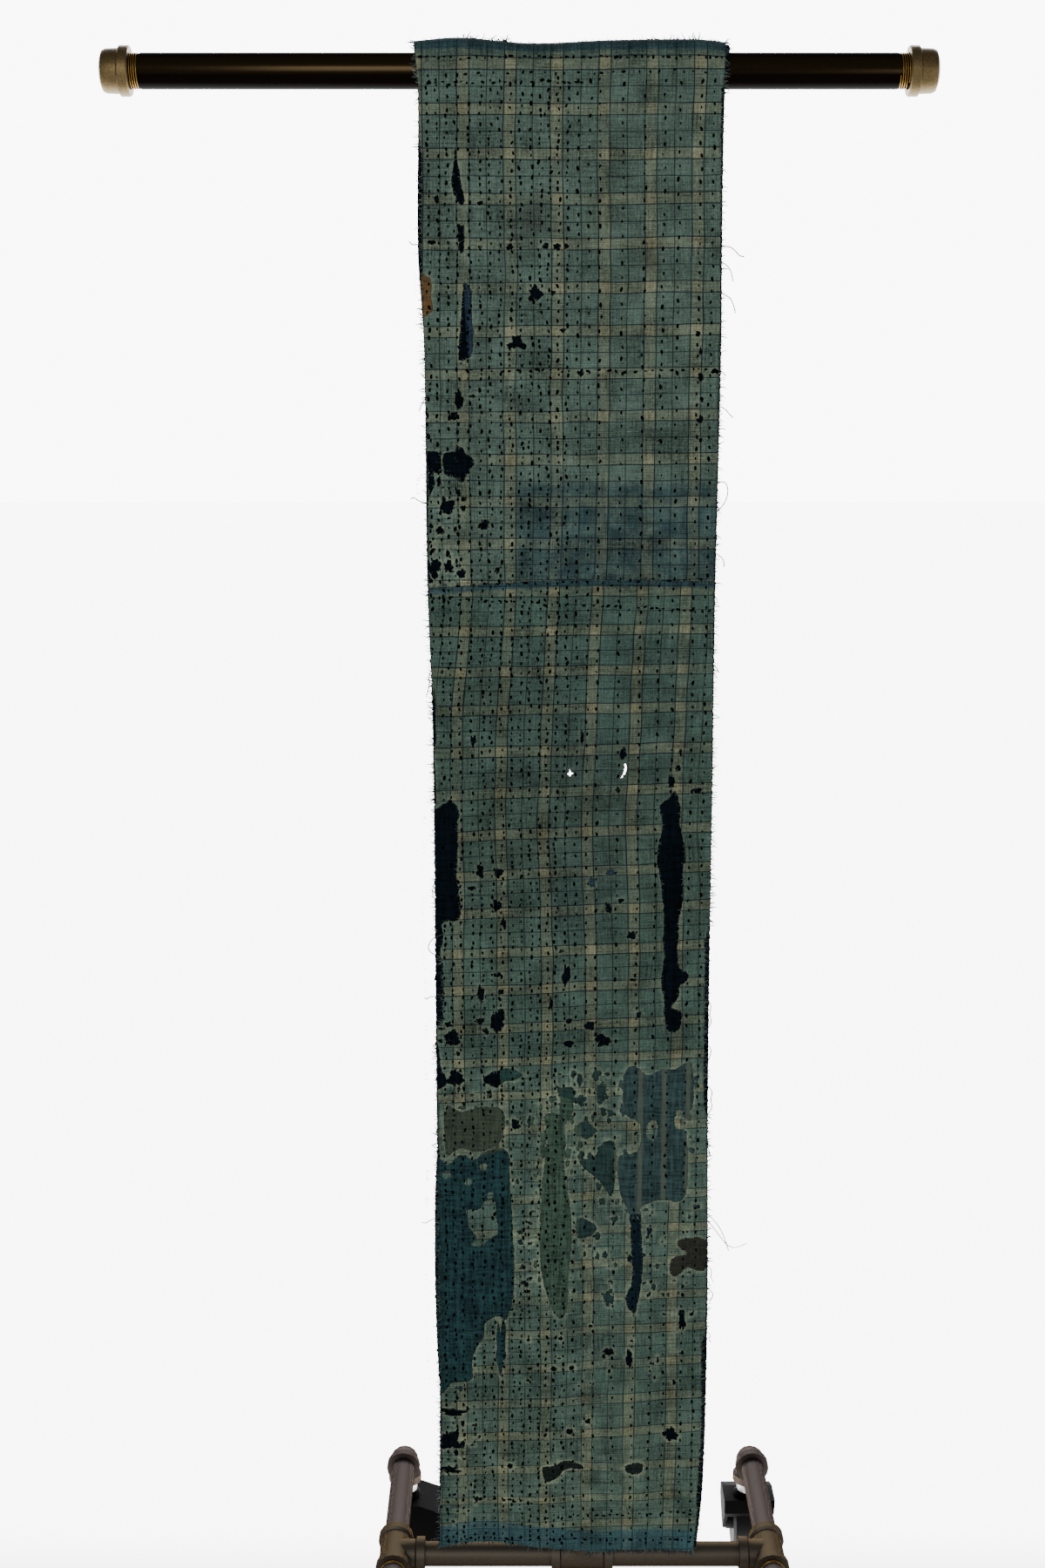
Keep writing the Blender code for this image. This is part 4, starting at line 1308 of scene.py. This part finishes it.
def plump_dash():
    """A stitch as it shows on the cloth: a low plump dash one unit long, along X, with its flat side down."""
    points = [(-0.5, 0, 0), (0.5, 0, 0)]
    faces = []
    rings = ((-0.36, 0.75), (0.0, 1.0), (0.36, 0.75))
    sides = 6
    for x, swell in rings:
        for k in range(sides):
            turn = 2 * math.pi * k / sides
            points.append(
                (
                    x,
                    swell * math.cos(turn) * STITCH_WIDTH / STITCH_LENGTH / 2,
                    swell * math.sin(turn) * STITCH_HEIGHT / STITCH_LENGTH / 2,
                )
            )
    for k in range(sides):
        following = (k + 1) % sides
        faces.append((0, 2 + following, 2 + k))
        for ring in (0, 1):
            base = 2 + ring * sides
            faces.append((base + k, base + following, base + sides + following, base + sides + k))
        last = 2 + 2 * sides
        faces.append((1, last + k, last + following))
    return points, faces


dash_points, dash_faces = plump_dash()
dash = mesh_piece("dash_pattern", dash_points, dash_faces, stitch_cotton)


def touch(x, drop, from_front=True):
    """Where a needle that comes straight at the cloth meets it: the place, the way out and the layer."""
    way = 1 if from_front else -1
    origin = Vector((x, -0.1 * way, BAR_HEIGHT - drop))
    best = None
    for layer_name, tree in sewn_layers:
        place, out, _, distance = tree.ray_cast(origin, Vector((0, way, 0)))
        if place and (best is None or distance < best[3]):
            best = (place, out if out.y * way < 0 else -out, layer_name, distance)
    return best


# Upright rows on the right: x at the top, x at the hem, distance between stitches, in mm.
RIGHT_ROWS = (
    (55, 57, 11), (66, 68, 14), (76, 78, 12), (97, 98, 12), (118, 119, 12), (136, 137, 11),
    (150, 152, 12), (170, 171, 11), (182, 184, 10),
)
LEFT_ROW_GAP = 9.8
LEFT_ROW_PITCH = 7.2
# Cross rows: x and drop at the left end, x and drop at the right end, distance between stitches, in mm.
CROSS_ROWS = (
    (-60, 276, 190, 276, 8.5), (-84, 494, 190, 507, 7.0), (-60, 482, 188, 476, 12.0),
    (-70, 1463, 40, 1475, 9.0), (30, 1489, 186, 1484, 10.0), (-80, 1514, 184, 1517, 8.0),
    (-50, 4, 180, 3, 11.0), (-92, -10, 190, -10, 7.0), (-84, 13, 60, 12, 8.0),
)
LAST_STITCH = 1522
# How often a stitch is left on the backing where the face has torn away.
LEFT_ON_BACKING = 0.25
stitch_rng = random.Random(41)
front_stitches = []


def sew(x, drop, upright, chance_on_backing):
    """One stitch on the front, unless the cloth has torn away from under it."""
    met = touch(x / 1000, drop / 1000)
    if met is None:
        return
    place, out, layer_name, distance = met
    if layer_name.startswith("backing") and stitch_rng.random() > chance_on_backing:
        return
    run = Vector((stitch_rng.gauss(0, 0.22), 0, -1)) if upright else Vector((1, 0, stitch_rng.gauss(0, 0.3)))
    length = STITCH_LENGTH * stitch_rng.choice((0.75, 0.95, 1.0, 1.1, 1.35))
    front_stitches.append((place + out * 0.00012, run, out, length))


for top_x, hem_x, pitch in RIGHT_ROWS:
    drop = 8.0 + stitch_rng.uniform(0, 8)
    while drop < LAST_STITCH:
        x = top_x + (hem_x - top_x) * drop / LAST_STITCH + 1.4 * noise.noise(Vector((drop * 0.03, top_x, 0)))
        sew(x + stitch_rng.gauss(0, 0.6), drop, True, LEFT_ON_BACKING)
        drop += pitch * stitch_rng.uniform(0.8, 1.2)
row_x = -86.0
while row_x < 50:
    drop = 6.0 + stitch_rng.uniform(0, 8)
    while drop < LAST_STITCH:
        x = row_x + 2.6 * noise.noise(Vector((drop * 0.02, row_x, 3)))
        if stitch_rng.random() < 0.9:
            sew(x + stitch_rng.gauss(0, 0.9), drop, True, LEFT_ON_BACKING)
        drop += LEFT_ROW_PITCH * stitch_rng.uniform(0.6, 1.45)
    row_x += LEFT_ROW_GAP * stitch_rng.uniform(0.85, 1.15)
for left_x, left_drop, right_x, right_drop, pitch in CROSS_ROWS:
    x = left_x
    while x < right_x:
        share = (x - left_x) / (right_x - left_x)
        wander = 2.0 * noise.noise(Vector((x * 0.05, left_drop, 1)))
        drop = left_drop + share * (right_drop - left_drop) + wander
        sew(x, drop + stitch_rng.gauss(0, 0.7), stitch_rng.random() < 0.25, 0.3)
        x += pitch * stitch_rng.uniform(0.55, 1.4)
stitches_front = scatter("stitches_front", front_stitches, dash, stitch_cotton, 0.12, 7)

# The same thread shows behind, between the front's stitches, below the tail's end.
thread_behind = new_finish("indigo_grey_thread", "#27343b", 0.9)[0]
# A stitch's middle lies this far behind the front of its layer, clear of the front side.
BACK_STITCH_OUT = 0.0011
BACK_ROW_GAP = 12.5
BACK_ROW_PITCH = 10.5
BELOW_TAIL = 96.0
back_stitches = []
row_x = -84.0
while row_x < 188:
    drop = BELOW_TAIL
    while drop < 1515:
        met = touch((row_x + stitch_rng.gauss(0, 1.0)) / 1000, drop / 1000, False)
        if met:
            place, out, layer_name, distance = met
            run = Vector((stitch_rng.gauss(0, 0.1), 0, -1))
            back_stitches.append((place + out * BACK_STITCH_OUT, run, out, STITCH_LENGTH * 1.3))
        drop += BACK_ROW_PITCH * stitch_rng.uniform(0.8, 1.2)
    row_x += BACK_ROW_GAP
stitches_back = scatter("stitches_back", back_stitches, dash, thread_behind, 0.15, 11)
bpy.data.objects.remove(dash)

# --- Frayed threads -------------------------------------------------------------------------------
# Short ends of yarn stand out from the raw edges, the rims of the holes and the fold over the bar, and
# longer pulled threads hang from both sides.


def curled_hair():
    """A tapered hair one unit long, running along X and curling up."""
    sides = 3
    steps = 4
    points = []
    faces = []
    for k in range(steps):
        t = k / steps
        centre = Vector((t, 0.10 * math.sin(t * 3.0), 0.28 * t * t))
        for j in range(sides):
            turn = 2 * math.pi * j / sides
            ring = 0.095 * (1 - 0.6 * t)
            points.append((centre.x, centre.y + ring * math.cos(turn), centre.z + ring * math.sin(turn)))
    points.append((1.0, 0.02, 0.30))
    for k in range(steps - 1):
        for j in range(sides):
            following = (j + 1) % sides
            base = k * sides
            faces.append((base + j, base + sides + j, base + sides + following, base + following))
    base = (steps - 1) * sides
    for j in range(sides):
        faces.append((base + j, len(points) - 1, base + (j + 1) % sides))
    faces.append((0, 1, 2))
    return points, faces


hair_points, hair_faces = curled_hair()
pale_yarn = new_finish("faded_green_yarn", "#56645a", 0.95)[0]
dark_yarn = new_finish("dark_blue_yarn", "#12212a", 0.95)[0]
loose_yarn = new_finish("loose_green_yarn", "#2c3630", 0.95)[0]
hair = mesh_piece("hair_pattern", hair_points, hair_faces, pale_yarn)
fray_rng = random.Random(8)
edge_hairs = {"pale": [], "dark": []}


def fray_along(loop, chance, longest, outward, kind, depth):
    """Hairs along a cut edge. outward is 1 from an outline and -1 into a hole."""
    for (x1, along1), (x2, along2) in zip(loop, loop[1:] + loop[:1]):
        if fray_rng.random() > chance:
            continue
        gap = Vector((along2 - along1, x1 - x2))
        if gap.length < 1e-6:
            continue
        gap = gap.normalized() * outward
        place = hang(x1, along1, depth)
        ahead = hang(x1 + gap.x * 0.001, along1 + gap.y * 0.001, depth) - place
        if ahead.length < 1e-9:
            continue
        stray = Vector((fray_rng.gauss(0, 0.5), fray_rng.gauss(0, 0.25), fray_rng.gauss(0, 0.5)))
        run = ahead.normalized() + stray
        facing = Vector((fray_rng.gauss(0, 0.5), -1, fray_rng.gauss(0, 0.5)))
        length = longest * fray_rng.uniform(0.25, 1.0) ** 1.5
        edge_hairs[kind].append((place, run.normalized(), facing, max(length, 0.0008)))


face_outlines = (
    panel_outline(lambda s: -0.15, lambda s: read_at(SEAM, s) - 0.001, face_sides, 0.0011, (0.001, 0.0)),
    panel_outline(
        lambda s: read_at(SEAM, s) + 0.001, lambda s: read_at(HEM, s), face_sides, 0.0013, (0.0, 0.0012)
    ),
)
for outline in face_outlines:
    fray_along(outline, 0.55, 0.0060, 1, "pale", 0.0020)
    fray_along(outline, 0.75, 0.0080, 1, "dark", 0.0018)
for holes, tears in (
    ((*HOLES_UPPER, *worn_places["upper"]), TEARS_UPPER),
    ((*HOLES_LOWER, *worn_places["lower"]), TEARS_LOWER),
):
    for hole in holes:
        fray_along(worn_hole(*hole), 0.35, 0.0028, -1, "pale", 0.0021)
    for corners in tears:
        fray_along(torn_loop(corners), 0.5, 0.0036, -1, "pale", 0.0021)
for corners in REMNANTS_LOWER:
    fray_along(torn_loop(corners), 0.5, 0.003, 1, "pale", 0.0021)
# Tufts on the fold over the bar: x, number of hairs, length, in mm.
TUFTS = ((-46, 12, 8), (-20, 14, 9), (10, 5, 4), (60, 6, 4), (129, 9, 6), (144, 8, 6), (164, 12, 8))
FOLD_TOP = -OVER_BAR / 2
FOLD_HAIRS = 170
for tuft_x, count, length in TUFTS:
    for k in range(count):
        x = (tuft_x + fray_rng.gauss(0, 5)) / 1000
        place = hang(x, FOLD_TOP, FACE_OUT)
        run = Vector((fray_rng.gauss(0, 0.9), fray_rng.gauss(0, 0.4), 0.5))
        facing = Vector((fray_rng.gauss(0, 1), -1, fray_rng.gauss(0, 1)))
        size = length / 1000 * fray_rng.uniform(0.4, 1)
        edge_hairs["pale" if k % 3 else "dark"].append((place, run.normalized(), facing, size))
for k in range(FOLD_HAIRS):
    x = fray_rng.uniform(-0.096, 0.193)
    place = hang(x, FOLD_TOP + fray_rng.gauss(0, 0.004), FACE_OUT)
    run = Vector((fray_rng.gauss(0, 1), fray_rng.gauss(0, 0.5), 0.4))
    size = fray_rng.uniform(0.0015, 0.004)
    edge_hairs["dark" if k % 2 else "pale"].append((place, run.normalized(), Vector((0, -1, 0.1)), size))
fray_pale = scatter("fray_pale", edge_hairs["pale"], hair, pale_yarn, 0.2, 3)
fray_dark = scatter("fray_dark", edge_hairs["dark"], hair, dark_yarn, 0.2, 5)
bpy.data.objects.remove(hair)

# Pulled threads, each from its start in the cloth to its end: x, drop, how far forward, in mm.
PALE_THREADS = (
    ((190, 161, 0), (198, 160, 3), (204, 165, 5), (208, 170, 4), (212, 170, 6)),
    ((190, 174, 0), (197, 178, 4), (201, 186, 5), (202, 193, 3)),
    ((190, 203, 0), (198, 206, 3), (203, 213, 4), (205, 222, 3)),
    ((190, 275, 0), (195, 277, 3), (197, 281, 3)),
    ((190, 309, 0), (197, 311, 3), (201, 317, 4), (205, 320, 3)),
    ((190, 411, 0), (197, 404, 4), (201, 394, 5), (201, 385, 4), (197, 380, 3), (190, 382, 0)),
    ((190, 450, 0), (196, 453, 3), (199, 458, 4), (199, 463, 3)),
    ((190, 560, 0), (195, 563, 2), (196, 568, 2)),
    ((195, 1145, 0), (206, 1158, 4), (216, 1172, 5), (226, 1176, 4), (237, 1170, 3)),
    ((195, 1272, 0), (199, 1270, 3), (201, 1275, 4), (198, 1279, 4), (202, 1282, 3)),
    ((-90, 162, 0), (-96, 158, 3), (-101, 160, 3), (-104, 156, 2)),
    ((-90, 402, 0), (-97, 400, 3), (-103, 395, 3), (-105, 398, 2)),
    ((-84, 561, 0), (-90, 570, 3), (-88, 580, 3), (-92, 592, 3)),
    ((-76, 836, 1), (-86, 838, 4), (-93, 847, 4), (-91, 856, 3), (-80, 860, 2)),
    ((-84, 903, 0), (-90, 901, 3), (-95, 905, 3), (-97, 903, 2)),
    ((-84, 1143, 0), (-92, 1144, 3), (-98, 1149, 3), (-102, 1148, 2)),
)
DARK_THREADS = (
    ((193, 1136, 0), (203, 1144, 5), (212, 1158, 6), (218, 1178, 4)),
    ((190, 903, 1), (196, 910, 3), (193, 920, 4), (197, 930, 3), (190, 938, 2)),
    ((190, 952, 1), (197, 956, 3), (194, 968, 4), (190, 978, 2)),
    ((190, 996, 1), (199, 1001, 3), (196, 1012, 4), (199, 1022, 3), (192, 1030, 2)),
    ((192, 1060, 1), (197, 1066, 3), (196, 1074, 3)),
    ((196, 1196, 0), (202, 1200, 3), (199, 1208, 4), (203, 1214, 3)),
    ((196, 1222, 0), (202, 1224, 3), (203, 1231, 3), (199, 1236, 3)),
    ((-88, 300, 0), (-94, 306, 3), (-96, 314, 3)),
    ((-84, 780, 0), (-89, 788, 3), (-87, 797, 3)),
)
PULLED_THREAD_R = 0.00055
for thread_name, routes, yarn in (
    ("pulled_threads_pale", PALE_THREADS, loose_yarn),
    ("pulled_threads_dark", DARK_THREADS, dark_yarn),
):
    curve = bpy.data.curves.new(thread_name, "CURVE")
    curve.dimensions = "3D"
    curve.bevel_depth = PULLED_THREAD_R
    curve.bevel_resolution = 0
    curve.resolution_u = 5
    curve.use_fill_caps = True
    for route in routes:
        spline = curve.splines.new("NURBS")
        spline.points.add(len(route) - 1)
        for point, (x, drop, forward) in zip(spline.points, route):
            edge = hang(max(-0.09, min(0.192, x / 1000)), drop / 1000, 0.0018)
            point.co = (x / 1000, edge.y - forward / 1000, BAR_HEIGHT - drop / 1000, 1.0)
        spline.order_u = 3
        spline.use_endpoint_u = True
    drawn_piece(thread_name, curve, yarn)
